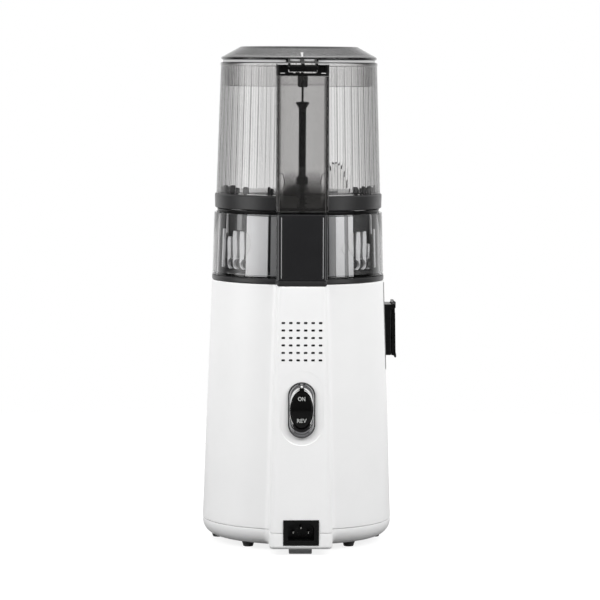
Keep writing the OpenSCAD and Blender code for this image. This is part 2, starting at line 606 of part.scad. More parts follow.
function hop_r(z) = lerp(76.5, 73.4, (z - collar_z1) / (hopper_z1 - collar_z1));
module hopper_collar() {
  color(c_grey) place() difference() {
    rotate_extrude() polygon([[62, collar_z0], [77, collar_z0], [77.7, collar_z0 + 0.8], [77.9, collar_z1 - 0.6], [77.3, collar_z1], [72.4, collar_z1], [72.4, collar_z0 + 2.6], [62, collar_z0 + 2.6]]);
    difference() { translate([-spine_w / 2, 60, 300]) cube([spine_w, 60, 30]); translate([0, 0, 290]) cylinder(r = 72.8, h = 50); }
  }
}
module hopper_shell() {
  color(c_smoke) place() difference() {
    union() {
      rotate_extrude() polygon([[0, collar_z1], [hop_r(collar_z1), collar_z1], [hop_r(hopper_z1 - 4), hopper_z1 - 4], [73.9, hopper_z1 - 3], [73.9, hopper_z1 - 0.5], [73.4, hopper_z1], [0, hopper_z1]]);
      spine_solid(collar_z0 + 0.3, hopper_z1 - 12.4, spine_w, spine_d(collar_z0), spine_d(hopper_z1 - 12));
    }
    rotate_extrude() polygon([[0, 300], [72.9, 300], [72.9, collar_z1 - 0.6], [hop_r(collar_z1) - hopper_wall, collar_z1 + 1.6], [hop_r(hopper_z1) - hopper_wall, hopper_z1 + 0.1], [0, hopper_z1 + 0.1]]);
    // room for the rod, kept off the round wall
    difference() {
      spine_solid(collar_z0 + 3, hopper_z1 - 8, spine_w, spine_d(collar_z0), spine_d(hopper_z1 - 8), 2);
      rotate_extrude() polygon([[0, 300], [hop_r(collar_z1) - 0.4, 300], [hop_r(collar_z1) - 0.4, collar_z1], [hop_r(hopper_z1) - 0.4, hopper_z1], [0, hopper_z1]]);
    }
    translate([0, rod_y, 300]) cylinder(r = 2.7, h = 20);
  }
}
// black hinge bracket in the top of the spine, with the guide of the rod below it
module hinge_bracket() {
  zb = hopper_z1 - 12.2;
  color(c_black) place() difference() {
    union() {
      difference() {
        translate([-spine_w / 2, 70, zb]) cube([spine_w, 24, 11.9]);
        translate([-13.3, 60, zb + 2.2]) cube([26.6, 50, 30]);
        for (s = [-1, 1]) translate([s * 22.2 - 2, 78, zb + 2.2]) cube([4, 5, 6]);
      }
      translate([-4.6, 79.4, zb - 10.6]) cube([9.2, 9.2, 10.7]);
    }
    rotate_extrude() polygon([[0, 300], [hop_r(300) + 0.05, 300], [hop_r(hopper_z1 - 4) + 0.05, hopper_z1 - 4], [73.95, hopper_z1 - 3], [73.95, hopper_z1 + 1], [0, hopper_z1 + 1]]);
    translate([0, rod_y, 400]) cylinder(r = 1.06, h = 60);
    translate([0, hinge_y, hinge_z]) rod_x(1.5, 43);
  }
}
module hinge_pin() { color(c_steel) place() translate([0, hinge_y, hinge_z]) rod_x(1.5, 42); }

rod_top = hinge_z - 4.5;
module interlock_rod() {
  color(c_black) place() translate([0, rod_y, 0]) {
    translate([0, 0, 312.5]) cylinder(r = 2.3, h = 26);
    translate([0, 0, 336]) cylinder(r = 5.3, h = 7);
    translate([0, 0, 340]) cylinder(r = 3.25, h = 66);
    translate([0, 0, 405.5]) cylinder(r1 = 3.25, r2 = 6, h = 3.5);
    translate([0, 0, 409]) cylinder(r = 6, h = 1.6);
    translate([0, 0, 410]) cylinder(r = 1, h = rod_top - 410);
  }
}
// return spring under the rod's collar: a coil swept along a helix
sp_r = 4.3; sp_w = 0.5; sp_n = 6; sp_z0 = 315.2; sp_z1 = 335.4; sp_k = 16; sp_m = 6;
function sp_pt(i, j) = let (t = i / sp_k * 360, q = j * 360 / sp_m, r = sp_r + sp_w * cos(q)) [r * cos(t), r * sin(t), lerp(sp_z0, sp_z1, i / (sp_k * sp_n)) + sp_w * sin(q)];
module rod_spring() {
  n = sp_k * sp_n;
  color(c_steel) place() translate([0, rod_y, 0]) polyhedron(
    points = [for (i = [0:n], j = [0:sp_m - 1]) sp_pt(i, j)],
    faces = concat([for (i = [0:n - 1], j = [0:sp_m - 1]) [i * sp_m + j, (i + 1) * sp_m + j, (i + 1) * sp_m + (j + 1) % sp_m, i * sp_m + (j + 1) % sp_m]],
      [[for (j = [0:sp_m - 1]) j]], [[for (j = [sp_m - 1:-1:0]) n * sp_m + j]]));
}

// ---------------------------------------------------------------- lid

module lid() {
  z = total_h;
  color(c_smoke) place() difference() {
    union() {
      difference() {
        rotate_extrude() polygon([[0, lid_rim_z], [73.2, lid_rim_z], [73.4, z - 11.6], [72.2, z - 9.8], [68, z - 5.6], [62, z - 2.2], [56, z], [0, z]]);
        rotate_extrude() polygon([[0, lid_rim_z - 1], [70.9, lid_rim_z - 1], [70.9, z - 11.4], [66.6, z - 7.6], [61, z - 4.5], [55.6, z - 2.5], [0, z - 2.5]]);
      }
      // hinge arm with its knuckle and the nose that presses the rod
      translate([-12.6, 0, 0]) rotate([90, 0, 90]) linear_extrude(25.2) difference() {
        union() {
          polygon([[71.2, hopper_z1 + 0.8], [80, hopper_z1 + 0.8], [87.4, hinge_z + 0.4], [hinge_y, hinge_z - 1], [hinge_y + 2.4, hinge_z + 2.4], [83, hopper_z1 + 3.2], [71.2, hopper_z1 + 3.2]]);
          translate([hinge_y, hinge_z]) circle(r = 3.3);
        }
      }
      translate([-4, 0, 0]) rotate([90, 0, 90]) linear_extrude(8) polygon([[82.4, hinge_z - 4.2], [85.6, hinge_z - 4.2], [89.5, hinge_z - 2.8], [90, hinge_z], [84.6, hinge_z + 2]]);
    }
    translate([0, hinge_y, hinge_z]) rod_x(1.56, 60);
  }
}
module lid_skirt() {
  z = total_h;
  color(c_clear) place() rotate_extrude() polygon([[66.6, z - 7.7], [70.3, z - 11.9], [70.3, z - 16], [68.9, z - 37.5], [67.2, z - 37.5], [68.4, z - 16], [68.4, z - 12.4], [65.4, z - 8.8]]);
}
module lid_seal() { z = total_h; color([0.3, 0.3, 0.3]) place() translate([0, 0, z - 15.8]) ring(70.7, 70.3, 3.4); }

// ---------------------------------------------------------------- nodes

body_shell();
base_cover();
top_deck();
round_feet();
rear_foot();
cover_screws();
switch_bezel();
switch_housing();
switch_rocker();
inlet_socket();
inlet_pins();
motor_bracket();
stator_core();
stator_windings();
motor_bolts();
rubber_mounts();
motor_bearings();
rotor_core();
motor_shaft();
cooling_fan();
gearbox_housing();
gearbox_cover();
gearbox_screws();
intermediate_axle();
intermediate_gear();
output_gear();
output_shaft();
shaft_bearings();
shaft_seal();
control_board();
board_components();
motor_capacitor();
interlock_switch();
internal_wiring();
bowl_base_ring();
juice_bowl();
bowl_spine();
drive_seal();
strainer();
bowl_gasket();
juice_spout();
pulp_spout();
pulp_plug();
cap_hinge_pin();
juice_cap();
cap_seal();
auger();
wing_hexagon();
cutting_wing();
lower_rod();
hopper_collar();
hopper_shell();
hinge_bracket();
hinge_pin();
interlock_rod();
rod_spring();
lid();
lid_skirt();
lid_seal();
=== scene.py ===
import math

import bmesh
import bpy
from mathutils import Euler, Matrix, Quaternion, Vector


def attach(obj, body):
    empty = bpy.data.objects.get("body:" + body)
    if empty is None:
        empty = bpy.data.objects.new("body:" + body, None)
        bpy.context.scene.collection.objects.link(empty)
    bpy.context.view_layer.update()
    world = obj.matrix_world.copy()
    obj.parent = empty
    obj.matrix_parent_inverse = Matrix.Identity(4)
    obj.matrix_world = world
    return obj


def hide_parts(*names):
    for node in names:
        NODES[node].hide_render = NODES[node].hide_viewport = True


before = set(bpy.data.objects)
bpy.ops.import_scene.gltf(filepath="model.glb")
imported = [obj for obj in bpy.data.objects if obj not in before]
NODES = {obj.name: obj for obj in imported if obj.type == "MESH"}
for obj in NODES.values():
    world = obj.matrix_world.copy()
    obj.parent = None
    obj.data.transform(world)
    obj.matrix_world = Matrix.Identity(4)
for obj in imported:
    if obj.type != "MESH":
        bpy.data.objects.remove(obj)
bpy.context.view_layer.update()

pi = math.pi
scene = bpy.context.scene
scene.view_settings.view_transform = "Standard"
scene.view_settings.look = "None"
scene.view_settings.exposure = 0.0
scene.view_settings.gamma = 1.0

# The drive axis stands at (3.4, -5.1) mm in the row frame. Pieces are drawn from it, in millimetres.
AX, AY = 3.4, -5.1


def W(p):
    return Vector(((p[0] + AX) / 1000, (p[1] + AY) / 1000, p[2] / 1000))


def lerp(a, b, t):
    return a + (b - a) * t


# ------------------------------------------------------------------ camera

YAW, PITCH, ROLL, DIST, EYE = math.radians(2.3), math.radians(4.444), math.radians(0.34), 2.8, 0.442
cam_data = bpy.data.cameras.new("camera")
cam_data.sensor_width = 36.0
cam_data.lens = 179.88
cam_data.clip_start, cam_data.clip_end = 0.05, 60
camera = bpy.data.objects.new("camera", cam_data)
scene.collection.objects.link(camera)
cam_pos = Vector((AX / 1000 + DIST * math.sin(YAW), AY / 1000 + DIST * math.cos(YAW), EYE))
right = Vector((-math.cos(YAW), math.sin(YAW), 0))
aim = Vector((AX / 1000, AY / 1000, 0)) + right * 0.0022
flat = Vector((aim.x - cam_pos.x, aim.y - cam_pos.y, 0)).normalized()
look = flat * math.cos(PITCH) + Vector((0, 0, -math.sin(PITCH)))
camera.location = cam_pos
camera.rotation_mode = "QUATERNION"
camera.rotation_quaternion = look.to_track_quat("-Z", "Y") @ Quaternion((0, 0, 1), ROLL)
scene.camera = camera

# ------------------------------------------------------------------ materials


def nodes_of(name):
    m = bpy.data.materials.new(name)
    m.use_nodes = True
    nt = m.node_tree
    nt.nodes.clear()
    out = nt.nodes.new("ShaderNodeOutputMaterial")
    return m, nt, out


def add(nt, kind, **values):
    n = nt.nodes.new(kind)
    for k, v in values.items():
        setattr(n, k, v)
    return n


def noise(nt, co, scale, detail=3.0, rough=0.55, stretch=None):
    n = add(nt, "ShaderNodeTexNoise")
    n.inputs["Scale"].default_value = scale
    n.inputs["Detail"].default_value = detail
    n.inputs["Roughness"].default_value = rough
    if stretch:
        mp = add(nt, "ShaderNodeMapping")
        mp.inputs["Scale"].default_value = stretch
        nt.links.new(co, mp.inputs["Vector"])
        co = mp.outputs["Vector"]
    nt.links.new(co, n.inputs["Vector"])
    return n.outputs["Fac"]


def ranged(nt, fac, lo, hi, a=0.3, b=0.7):
    r = add(nt, "ShaderNodeMapRange")
    r.inputs["From Min"].default_value, r.inputs["From Max"].default_value = a, b
    r.inputs["To Min"].default_value, r.inputs["To Max"].default_value = lo, hi
    nt.links.new(fac, r.inputs["Value"])
    return r.outputs["Result"]


def mixed(nt, fac, c0, c1):
    m = add(nt, "ShaderNodeMix", data_type="RGBA")
    nt.links.new(fac, m.inputs["Factor"])
    for name, c in (("A", c0), ("B", c1)):
        s = [i for i in m.inputs if i.name == name and i.type == "RGBA"][0]
        if isinstance(c, (tuple, list)):
            s.default_value = (*c, 1)
        else:
            nt.links.new(c, s)
    return [o for o in m.outputs if o.type == "RGBA"][0]


def bumped(nt, shader, height, strength, distance):
    b = add(nt, "ShaderNodeBump")
    b.inputs["Strength"].default_value = strength
    b.inputs["Distance"].default_value = distance
    nt.links.new(height, b.inputs["Height"])
    nt.links.new(b.outputs["Normal"], shader.inputs["Normal"])


def edge_wear(nt, lo=0.47, hi=0.60):
    """0 on flat ground, 1 on sharp outer edges."""
    g = add(nt, "ShaderNodeNewGeometry")
    return ranged(nt, g.outputs["Pointiness"], 0.0, 1.0, lo, hi)


def solid(name, color, rough=0.4, spread=0.04, grain=1600, grain_h=0.00002, var=0.04, metal=0.0, coat=0.0,
          coat_rough=0.1, ior=1.5, brushed=None, edge=None, dust=0.0, sub=0.0, aniso=0.0):
    """Opaque moulded, rubber or metal surface: grain in the bump, soft variation in colour and roughness, rubbed edges."""
    m, nt, out = nodes_of(name)
    p = add(nt, "ShaderNodeBsdfPrincipled")
    tc = add(nt, "ShaderNodeTexCoord")
    co = tc.outputs["Object"]
    big = noise(nt, co, 28, 4)
    fine = noise(nt, co, grain, 2, stretch=brushed)
    mid = noise(nt, co, 260, 3)
    dark = tuple(c * (1 - var) for c in color)
    light = tuple(min(1, c * (1 + var)) for c in color)
    col = mixed(nt, ranged(nt, big, 0, 1), dark, light)
    if brushed:
        col = mixed(nt, ranged(nt, fine, 0, 0.5), col, tuple(c * 0.82 for c in color))
    if edge:
        col = mixed(nt, edge_wear(nt), col, edge)
    if dust:
        g = add(nt, "ShaderNodeNewGeometry")
        sx = add(nt, "ShaderNodeSeparateXYZ")
        nt.links.new(g.outputs["Normal"], sx.inputs[0])
        up = ranged(nt, sx.outputs["Z"], 0, dust, 0.6, 1.0)
        col = mixed(nt, up, col, tuple(min(1, c * 1.5 + 0.05) for c in color))
    nt.links.new(col, p.inputs["Base Color"])
    nt.links.new(ranged(nt, mid, max(rough - spread, 0.02), rough + spread), p.inputs["Roughness"])
    p.inputs["Metallic"].default_value = metal
    p.inputs["IOR"].default_value = ior
    p.inputs["Coat Weight"].default_value = coat
    p.inputs["Coat Roughness"].default_value = coat_rough
    if sub:
        p.inputs["Subsurface Weight"].default_value = sub
        p.inputs["Subsurface Radius"].default_value = (0.002, 0.002, 0.002)
    if aniso:
        p.inputs["Anisotropic"].default_value = aniso
    bumped(nt, p, fine, 0.5, grain_h)
    nt.links.new(p.outputs["BSDF"], out.inputs["Surface"])
    return m


def clear(name, tint, depth_mm=None, rough=0.03, ior=1.49, grain_h=0.000004, lamp=0.9, spread=0.015, streak=None):
    """Clear or smoky moulded plastic with real thickness. depth_mm is how far light goes before the tint takes hold."""
    m, nt, out = nodes_of(name)
    p = add(nt, "ShaderNodeBsdfPrincipled")
    tc = add(nt, "ShaderNodeTexCoord")
    co = tc.outputs["Object"]
    flow = noise(nt, co, 18, 3, stretch=(1, 1, 0.25))
    p.inputs["Base Color"].default_value = (1, 1, 1, 1)
    p.inputs["Transmission Weight"].default_value = 1.0
    p.inputs["IOR"].default_value = ior
    nt.links.new(ranged(nt, flow, max(rough - spread, 0.0), rough + spread), p.inputs["Roughness"])
    bumped(nt, p, noise(nt, co, 120, 2, stretch=streak or (1, 1, 0.3)), 0.4, grain_h)
    if depth_mm:
        v = add(nt, "ShaderNodeVolumeAbsorption")
        v.inputs["Color"].default_value = (*tint, 1)
        v.inputs["Density"].default_value = 1000.0 / depth_mm
        nt.links.new(v.outputs["Volume"], out.inputs["Volume"])
        p.inputs["Base Color"].default_value = (0.985, 0.985, 0.985, 1)
    else:
        p.inputs["Base Color"].default_value = (*tint, 1)
    lp = add(nt, "ShaderNodeLightPath")
    tr = add(nt, "ShaderNodeBsdfTransparent")
    tr.inputs["Color"].default_value = (lamp, lamp, lamp, 1)
    mx = add(nt, "ShaderNodeMixShader")
    nt.links.new(lp.outputs["Is Shadow Ray"], mx.inputs["Fac"])
    nt.links.new(p.outputs["BSDF"], mx.inputs[1])
    nt.links.new(tr.outputs["BSDF"], mx.inputs[2])
    nt.links.new(mx.outputs["Shader"], out.inputs["Surface"])
    return m


def tinted(name, tint, depth_mm, haze):
    """Smoked filler that does not bend light: it only darkens what stands behind it, with a faint haze of its own."""
    m, nt, out = nodes_of(name)
    tc = add(nt, "ShaderNodeTexCoord")
    tr = add(nt, "ShaderNodeBsdfTransparent")
    df = add(nt, "ShaderNodeBsdfDiffuse")
    nt.links.new(mixed(nt, ranged(nt, noise(nt, tc.outputs["Object"], 60, 3), 0, 1), (haze, haze, haze), (haze * 1.3, haze * 1.3, haze * 1.3)), df.inputs["Color"])
    mx = add(nt, "ShaderNodeAddShader")
    nt.links.new(tr.outputs["BSDF"], mx.inputs[0])
    nt.links.new(df.outputs["BSDF"], mx.inputs[1])
    nt.links.new(mx.outputs["Shader"], out.inputs["Surface"])
    v = add(nt, "ShaderNodeVolumeAbsorption")
    v.inputs["Color"].default_value = (*tint, 1)
    v.inputs["Density"].default_value = 1000.0 / depth_mm
    nt.links.new(v.outputs["Volume"], out.inputs["Volume"])
    return m


M = {}
M["white"] = solid("white_gloss_plastic", (0.84, 0.84, 0.84), 0.42, 0.04, 2600, 0.000006, 0.012)
M["black_gloss"] = solid("black_gloss_plastic", (0.0022, 0.0022, 0.0022), 0.20, 0.04, 2400, 0.000005, 0.2, ior=1.42)
M["black"] = solid("black_plastic", (0.0040, 0.0040, 0.0040), 0.30, 0.05, 2200, 0.00001, 0.15, ior=1.36)
M["dark"] = solid("dark_grey_satin_plastic", (0.024, 0.024, 0.0245), 0.33, 0.05, 2200, 0.00001, 0.08, ior=1.40)
M["spine_black"] = solid("bowl_spine_plastic", (0.0155, 0.0155, 0.0165), 0.22, 0.04, 2400, 0.000006, 0.1, coat=0.25, coat_rough=0.08)
M["rubber"] = solid("grey_rubber", (0.075, 0.075, 0.075), 0.62, 0.08, 1900, 0.00003, 0.1)
M["silicone"] = solid("silicone_seal", (0.07, 0.07, 0.072), 0.5, 0.06, 1700, 0.00002, 0.08)
M["grey_foot"] = solid("grey_foot_rubber", (0.50, 0.50, 0.51), 0.55, 0.06, 1900, 0.00002, 0.05)
M["chrome"] = solid("chrome_trim", (0.33, 0.33, 0.34), 0.16, 0.03, 2600, 0.000002, 0.03, metal=1.0)
# pale grey for the spine's beads: painted highlight lines
M["edge"] = solid("spine_edge_highlight_plastic", (0.26, 0.26, 0.263), 0.34, 0.05, 2000, 0.000006, 0.08)
M["steel"] = solid("machined_steel", (0.56, 0.56, 0.57), 0.26, 0.05, 1500, 0.00001, 0.05, metal=1.0, brushed=(1, 1, 0.05))
M["pin"] = solid("plated_pin_metal", (0.66, 0.65, 0.62), 0.20, 0.05, 1500, 0.000008, 0.05, metal=1.0)
M["cast"] = solid("cast_aluminium", (0.50, 0.50, 0.51), 0.46, 0.08, 900, 0.00006, 0.08, metal=1.0)
M["lamination"] = solid("stator_lamination", (0.30, 0.30, 0.32), 0.42, 0.06, 1800, 0.00006, 0.1, metal=1.0, brushed=(0.03, 0.03, 1.4))
M["copper"] = solid("enamelled_copper", (0.55, 0.22, 0.08), 0.30, 0.06, 1500, 0.00010, 0.15, metal=1.0, brushed=(0.3, 0.3, 2.0))
M["nylon"] = solid("gear_nylon", (0.70, 0.67, 0.58), 0.42, 0.05, 1500, 0.00001, 0.04, sub=0.1)
M["board"] = solid("circuit_board", (0.02, 0.11, 0.05), 0.32, 0.05, 700, 0.00002, 0.25)
M["parts"] = solid("board_parts", (0.03, 0.03, 0.032), 0.4, 0.06, 1500, 0.00002, 0.15)
M["wire"] = solid("wire_jacket", (0.34, 0.03, 0.03), 0.38, 0.05, 1600, 0.00001, 0.08)
M["fin"] = solid("screen_fin_plastic", (0.86, 0.86, 0.87), 0.36, 0.05, 1900, 0.00001, 0.05)
M["pad"] = solid("pale_trim_plastic", (0.50, 0.50, 0.50), 0.40, 0.05, 1900, 0.00001, 0.05)
M["grey_fin"] = solid("screen_grey_plastic", (0.26, 0.26, 0.265), 0.38, 0.05, 1900, 0.00001, 0.08)
M["screen"] = solid("screen_dark_plastic", (0.010, 0.010, 0.0105), 0.36, 0.05, 1900, 0.00001, 0.1)
M["auger"] = solid("screw_plastic", (0.060, 0.058, 0.058), 0.34, 0.05, 1700, 0.00002, 0.08)
M["wing"] = clear("wing_smoke_plastic", (0.40, 0.375, 0.355), 6.0, 0.06, grain_h=0.00001)
M["lettering"] = solid("printed_lettering", (0.42, 0.43, 0.42), 0.5, 0.05, 1500, 0.00001, 0.05)
M["hopper"] = clear("hopper_clear_plastic", (0.60, 0.575, 0.565), 17.0, 0.02, streak=(1, 1, 0.01))
M["glazing"] = clear("spine_smoke_plastic", (0.37, 0.355, 0.345), 2.8, 0.15, lamp=0.8)
M["bowl"] = clear("bowl_clear_plastic", (0.62, 0.62, 0.62), 16.0, 0.02, lamp=1.0)
M["lid"] = clear("lid_smoke_plastic", (0.22, 0.22, 0.22), 5.0, 0.16, lamp=0.8)
M["filler"] = tinted("spine_filler_plastic", (0.10, 0.095, 0.09), 2.7, 0.030)
M["bead"] = solid("wing_rim_plastic", (0.035, 0.030, 0.028), 0.38, 0.05, 1700, 0.00001, 0.1)
M["skirt"] = clear("skirt_clear_plastic", (0.55, 0.53, 0.52), 12.0, 0.02)

# ------------------------------------------------------------------ mesh tools


def tidy(bm):
    """Merges doubled points, and drops edges and points that carry no face."""
    bmesh.ops.remove_doubles(bm, verts=bm.verts, dist=2e-7)
    bmesh.ops.delete(bm, geom=[e for e in bm.edges if not e.link_faces], context="EDGES")
    bmesh.ops.delete(bm, geom=[v for v in bm.verts if not v.link_faces], context="VERTS")


def make(name, verts, faces, mat, body, slot, replaces=(), sharp=35.0, local=True, merge=True, smooth=True):
    me = bpy.data.meshes.new(name)
    me.from_pydata([W(v) if local else Vector(v) for v in verts], [], faces)
    ob = bpy.data.objects.new(name, me)
    scene.collection.objects.link(ob)
    bm = bmesh.new()
    bm.from_mesh(me)
    if merge:
        tidy(bm)
    bmesh.ops.recalc_face_normals(bm, faces=bm.faces)
    bm.to_mesh(me)
    bm.free()
    finish_mesh(me, sharp, smooth)
    me.materials.append(M[mat] if isinstance(mat, str) else mat)
    if body:
        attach(ob, body)
    if replaces:
        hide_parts(*replaces)
    return ob


def finish_mesh(me, sharp=35.0, smooth=True):
    if smooth:
        me.shade_smooth()
        me.set_sharp_from_angle(angle=math.radians(sharp))
    me.update()


def weighted(ob):
    m = ob.modifiers.new("weighted", "WEIGHTED_NORMAL")
    m.keep_sharp = True
    m.weight = 70
    return ob


def bevel(ob, width_mm, segments=2, angle=35.0, weld=False):
    if weld:
        w = ob.modifiers.new("weld", "WELD")
        w.merge_threshold = 1e-6
    b = ob.modifiers.new("bevel", "BEVEL")
    b.width = width_mm / 1000
    b.segments = segments
    b.limit_method = "ANGLE"
    b.angle_limit = math.radians(angle)
    b.use_clamp_overlap = True
    b.harden_normals = False
    return ob


def apply_all(ob):
    bpy.context.view_layer.update()
    dg = bpy.context.evaluated_depsgraph_get()
    me = bpy.data.meshes.new_from_object(ob.evaluated_get(dg), depsgraph=dg)
    ob.modifiers.clear()
    old = ob.data
    ob.data = me
    bpy.data.meshes.remove(old)
    return ob


def cut(ob, tools, op="DIFFERENCE", sharp=35.0):
    """Takes the tools away from ob (or adds them), and removes the tools."""
    tools = list(tools)
    for t in tools:
        b = ob.modifiers.new("cut", "BOOLEAN")
        b.operation, b.solver, b.object = op, "EXACT", t
    mats = [m for m in ob.data.materials]
    apply_all(ob)
    for t in tools:
        bpy.data.objects.remove(t)
    bm = bmesh.new()
    bm.from_mesh(ob.data)
    bmesh.ops.dissolve_degenerate(bm, dist=1e-7, edges=bm.edges)
    tidy(bm)
    for f in bm.faces:
        f.material_index = 0
    bm.to_mesh(ob.data)
    bm.free()
    ob.data.materials.clear()
    for m in mats[:1]:
        ob.data.materials.append(m)
    finish_mesh(ob.data, sharp)
    return ob


def tool(verts, faces, local=True):
    me = bpy.data.meshes.new("tool")
    me.from_pydata([W(v) if local else Vector(v) for v in verts], [], faces)
    bm = bmesh.new()
    bm.from_mesh(me)
    tidy(bm)
    bmesh.ops.recalc_face_normals(bm, faces=bm.faces)
    bm.to_mesh(me)
    bm.free()
    ob = bpy.data.objects.new("tool", me)
    scene.collection.objects.link(ob)
    return ob


def fillet(pts, closed=True, seg=5):
    """Rounds the corners of a polygon. Each point is (x, y) or (x, y, radius)."""
    out = []
    n = len(pts)
    for i in range(n):
        x, y = pts[i][:2]
        r = pts[i][2] if len(pts[i]) > 2 else 0
        if r <= 0 or (not closed and i in (0, n - 1)):
            out.append((x, y))
            continue
        p, a, b = Vector((x, y)), Vector(pts[i - 1][:2]), Vector(pts[(i + 1) % n][:2])
        u, v = a - p, b - p
        lu, lv = u.length, v.length
        u, v = u / lu, v / lv
        ang = u.angle(v)
        if ang > pi - 0.02:
            out.append((x, y))
            continue
        t = min(r / math.tan(ang / 2), lu * 0.49, lv * 0.49)
        rr = t * math.tan(ang / 2)
        c = p + (u + v).normalized() * (rr / math.sin(ang / 2))
        s, e = p + u * t - c, p + v * t - c
        a0, a1 = math.atan2(s.y, s.x), math.atan2(e.y, e.x)
        d = (a1 - a0 + pi) % (2 * pi) - pi
        for k in range(seg + 1):
            q = a0 + d * k / seg
            out.append((c.x + rr * math.cos(q), c.y + rr * math.sin(q)))
    return out


def loft(rings, cap0=False, cap1=False, closed_path=False):
    """Skins a list of rings of equally many points."""
    n = len(rings[0])
    verts = [p for r in rings for p in r]
    faces = []
    count = len(rings)
    for k in range(count if closed_path else count - 1):
        a, b = k * n, ((k + 1) % count) * n
        for i in range(n):
            j = (i + 1) % n
            faces.append((a + i, a + j, b + j, b + i))
    if cap0:
        faces.append(tuple(range(n - 1, -1, -1)))
    if cap1:
        faces.append(tuple((count - 1) * n + i for i in range(n)))
    return verts, faces


def revolve(profile, n=128, a0=0.0, a1=360.0, c=(0, 0)):
    """Turns a closed profile of (r, z) about a vertical axis at c. A part turn is capped."""
    full = abs(a1 - a0) > 359.9
    steps = n if full else n + 1
    rings = []
    for i in range(steps):
        a = math.radians(a0 + (a1 - a0) * i / n)
        rings.append([(c[0] + max(r, 0) * math.cos(a), c[1] + max(r, 0) * math.sin(a), z) for r, z in profile])
    return loft(rings, not full, not full, full)


def join(*parts):
    verts, faces = [], []
    for v, f in parts:
        k = len(verts)
        verts += list(v)
        faces += [tuple(i + k for i in g) for g in f]
    return verts, faces


def placed(part, mat):
    return [tuple(mat @ Vector(v)) for v in part[0]], part[1]


def prism(outline, z0, z1):
    return loft([[(x, y, z0) for x, y in outline], [(x, y, z1) for x, y in outline]], True, True)


def block(x0, x1, y0, y1, z0, z1):
    return prism([(x0, y0), (x1, y0), (x1, y1), (x0, y1)], z0, z1)


def rounded_rect(w, h, r, seg=5):
    return fillet([(-w / 2, -h / 2, r), (w / 2, -h / 2, r), (w / 2, h / 2, r), (-w / 2, h / 2, r)], True, seg)


def rod(r, p0, p1, n=32, ends=0.0, seg=3):
    """A round bar from p0 to p1 with rounded ends."""
    p0, p1 = Vector(p0), Vector(p1)
    L = (p1 - p0).length
    q = (p1 - p0).to_track_quat("Z", "Y").to_matrix().to_4x4()
    prof = fillet([(0, 0), (r, 0, ends), (r, L, ends), (0, L)], True, seg) if ends else [(0, 0), (r, 0), (r, L), (0, L)]
    return placed(revolve(prof, n), Matrix.Translation(p0) @ q)


def facing_y(part):
    """Turns a part drawn with its depth along +Z and its height along +Y into one that faces +Y."""
    return [(-x, z, y) for x, y, z in part[0]], part[1]


def smooth_fn(points):
    """A smooth, monotone curve through (z, value) points."""
    xs, ys = [p[0] for p in points], [p[1] for p in points]
    d = [(ys[i + 1] - ys[i]) / (xs[i + 1] - xs[i]) for i in range(len(xs) - 1)]
    m = [d[0]] + [0 if d[i - 1] * d[i] <= 0 else 2 * d[i - 1] * d[i] / (d[i - 1] + d[i]) for i in range(1, len(d))] + [d[-1]]

    def f(x):
        if x <= xs[0]:
            return ys[0]
        if x >= xs[-1]:
            return ys[-1]
        i = max(k for k in range(len(xs) - 1) if xs[k] <= x)
        h = xs[i + 1] - xs[i]
        t = (x - xs[i]) / h
        return (ys[i] * (2 * t**3 - 3 * t**2 + 1) + m[i] * h * (t**3 - 2 * t**2 + t)
                + ys[i + 1] * (-2 * t**3 + 3 * t**2) + m[i + 1] * h * (t**3 - t**2))

    return f


# ------------------------------------------------------------------ base

col_w = lambda z: lerp(57.9, 44.8, (z - 6) / 238.2)
col_d = lambda z: lerp(109.0, 101.0, (z - 6) / 238.2)
TILT = math.atan(8.0 / 238.2)
body_r = smooth_fn([(20.9, 88.0), (24, 88.0), (33, 87.6), (60, 86.65), (112, 84.9), (175, 82.65), (236, 80.55), (243.4, 80.4)])


def section(z, R, w, d, rc, rf, nC=80, nF=10, nV=8, nS=2, nP=10):
    """Round body with a rear column: circle, hollow fillet, side, rounded edge, face."""
    h = w / 2
    cx = h + rf
    cy = math.sqrt((R + rf) ** 2 - cx**2)
    at = math.atan2(cy, cx)
    half = [(R * math.cos(-pi / 2 + (at + pi / 2) * i / nC), R * math.sin(-pi / 2 + (at + pi / 2) * i / nC)) for i in range(nC + 1)]
    for i in range(1, nF + 1):
        a = at + pi - at * i / nF
        half.append((cx + rf * math.cos(a), cy + rf * math.sin(a)))
    y0, y1 = cy, d - rc
    for i in range(1, nS + 1):
        half.append((h, lerp(y0, y1, i / (nS + 1))))
    for i in range(nV + 1):
        a = pi / 2 * i / nV
        half.append((h - rc + rc * math.cos(a), d - rc + rc * math.sin(a)))
    for i in range(1, nP + 1):
        half.append((lerp(h - rc, 0, i / nP), d))
    other = [(-x, y) for x, y in half[-2:0:-1]]
    return [(x, y, z) for x, y in half + other]


def body_section(z, s=0.0, R=None):
    z_ = max(z, 6)
    return section(z, (R if R is not None else body_r(z)) - s, col_w(z_) - 2 * s, col_d(z_) - s,
                   max(lerp(5.2, 4.2, (z_ - 6) / 238) - s, 0.8), lerp(7.5, 6.0, (z_ - 6) / 238) + s)


def circle_like(ring, R, z):
    """A circle whose points lie in the same directions as the ring's."""
    out = []
    for x, y, _ in ring:
        a = math.atan2(y, x)
        out.append((R * math.cos(a), R * math.sin(a), z))
    return out


def on_column(z):
    """Frame on the column's face: x across (photo left is +), y up the face, z outwards."""
    o = W((0, col_d(z), z))
    up = Vector((0, -math.sin(TILT), math.cos(TILT)))
    out = Vector((0, math.cos(TILT), math.sin(TILT)))
    m = Matrix(((1, 0, 0), (0, 1, 0), (0, 0, 1))).to_4x4()
    m.col[0][:3] = (-1, 0, 0)
    m.col[1][:3] = up
    m.col[2][:3] = out
    m.translation = o
    return m


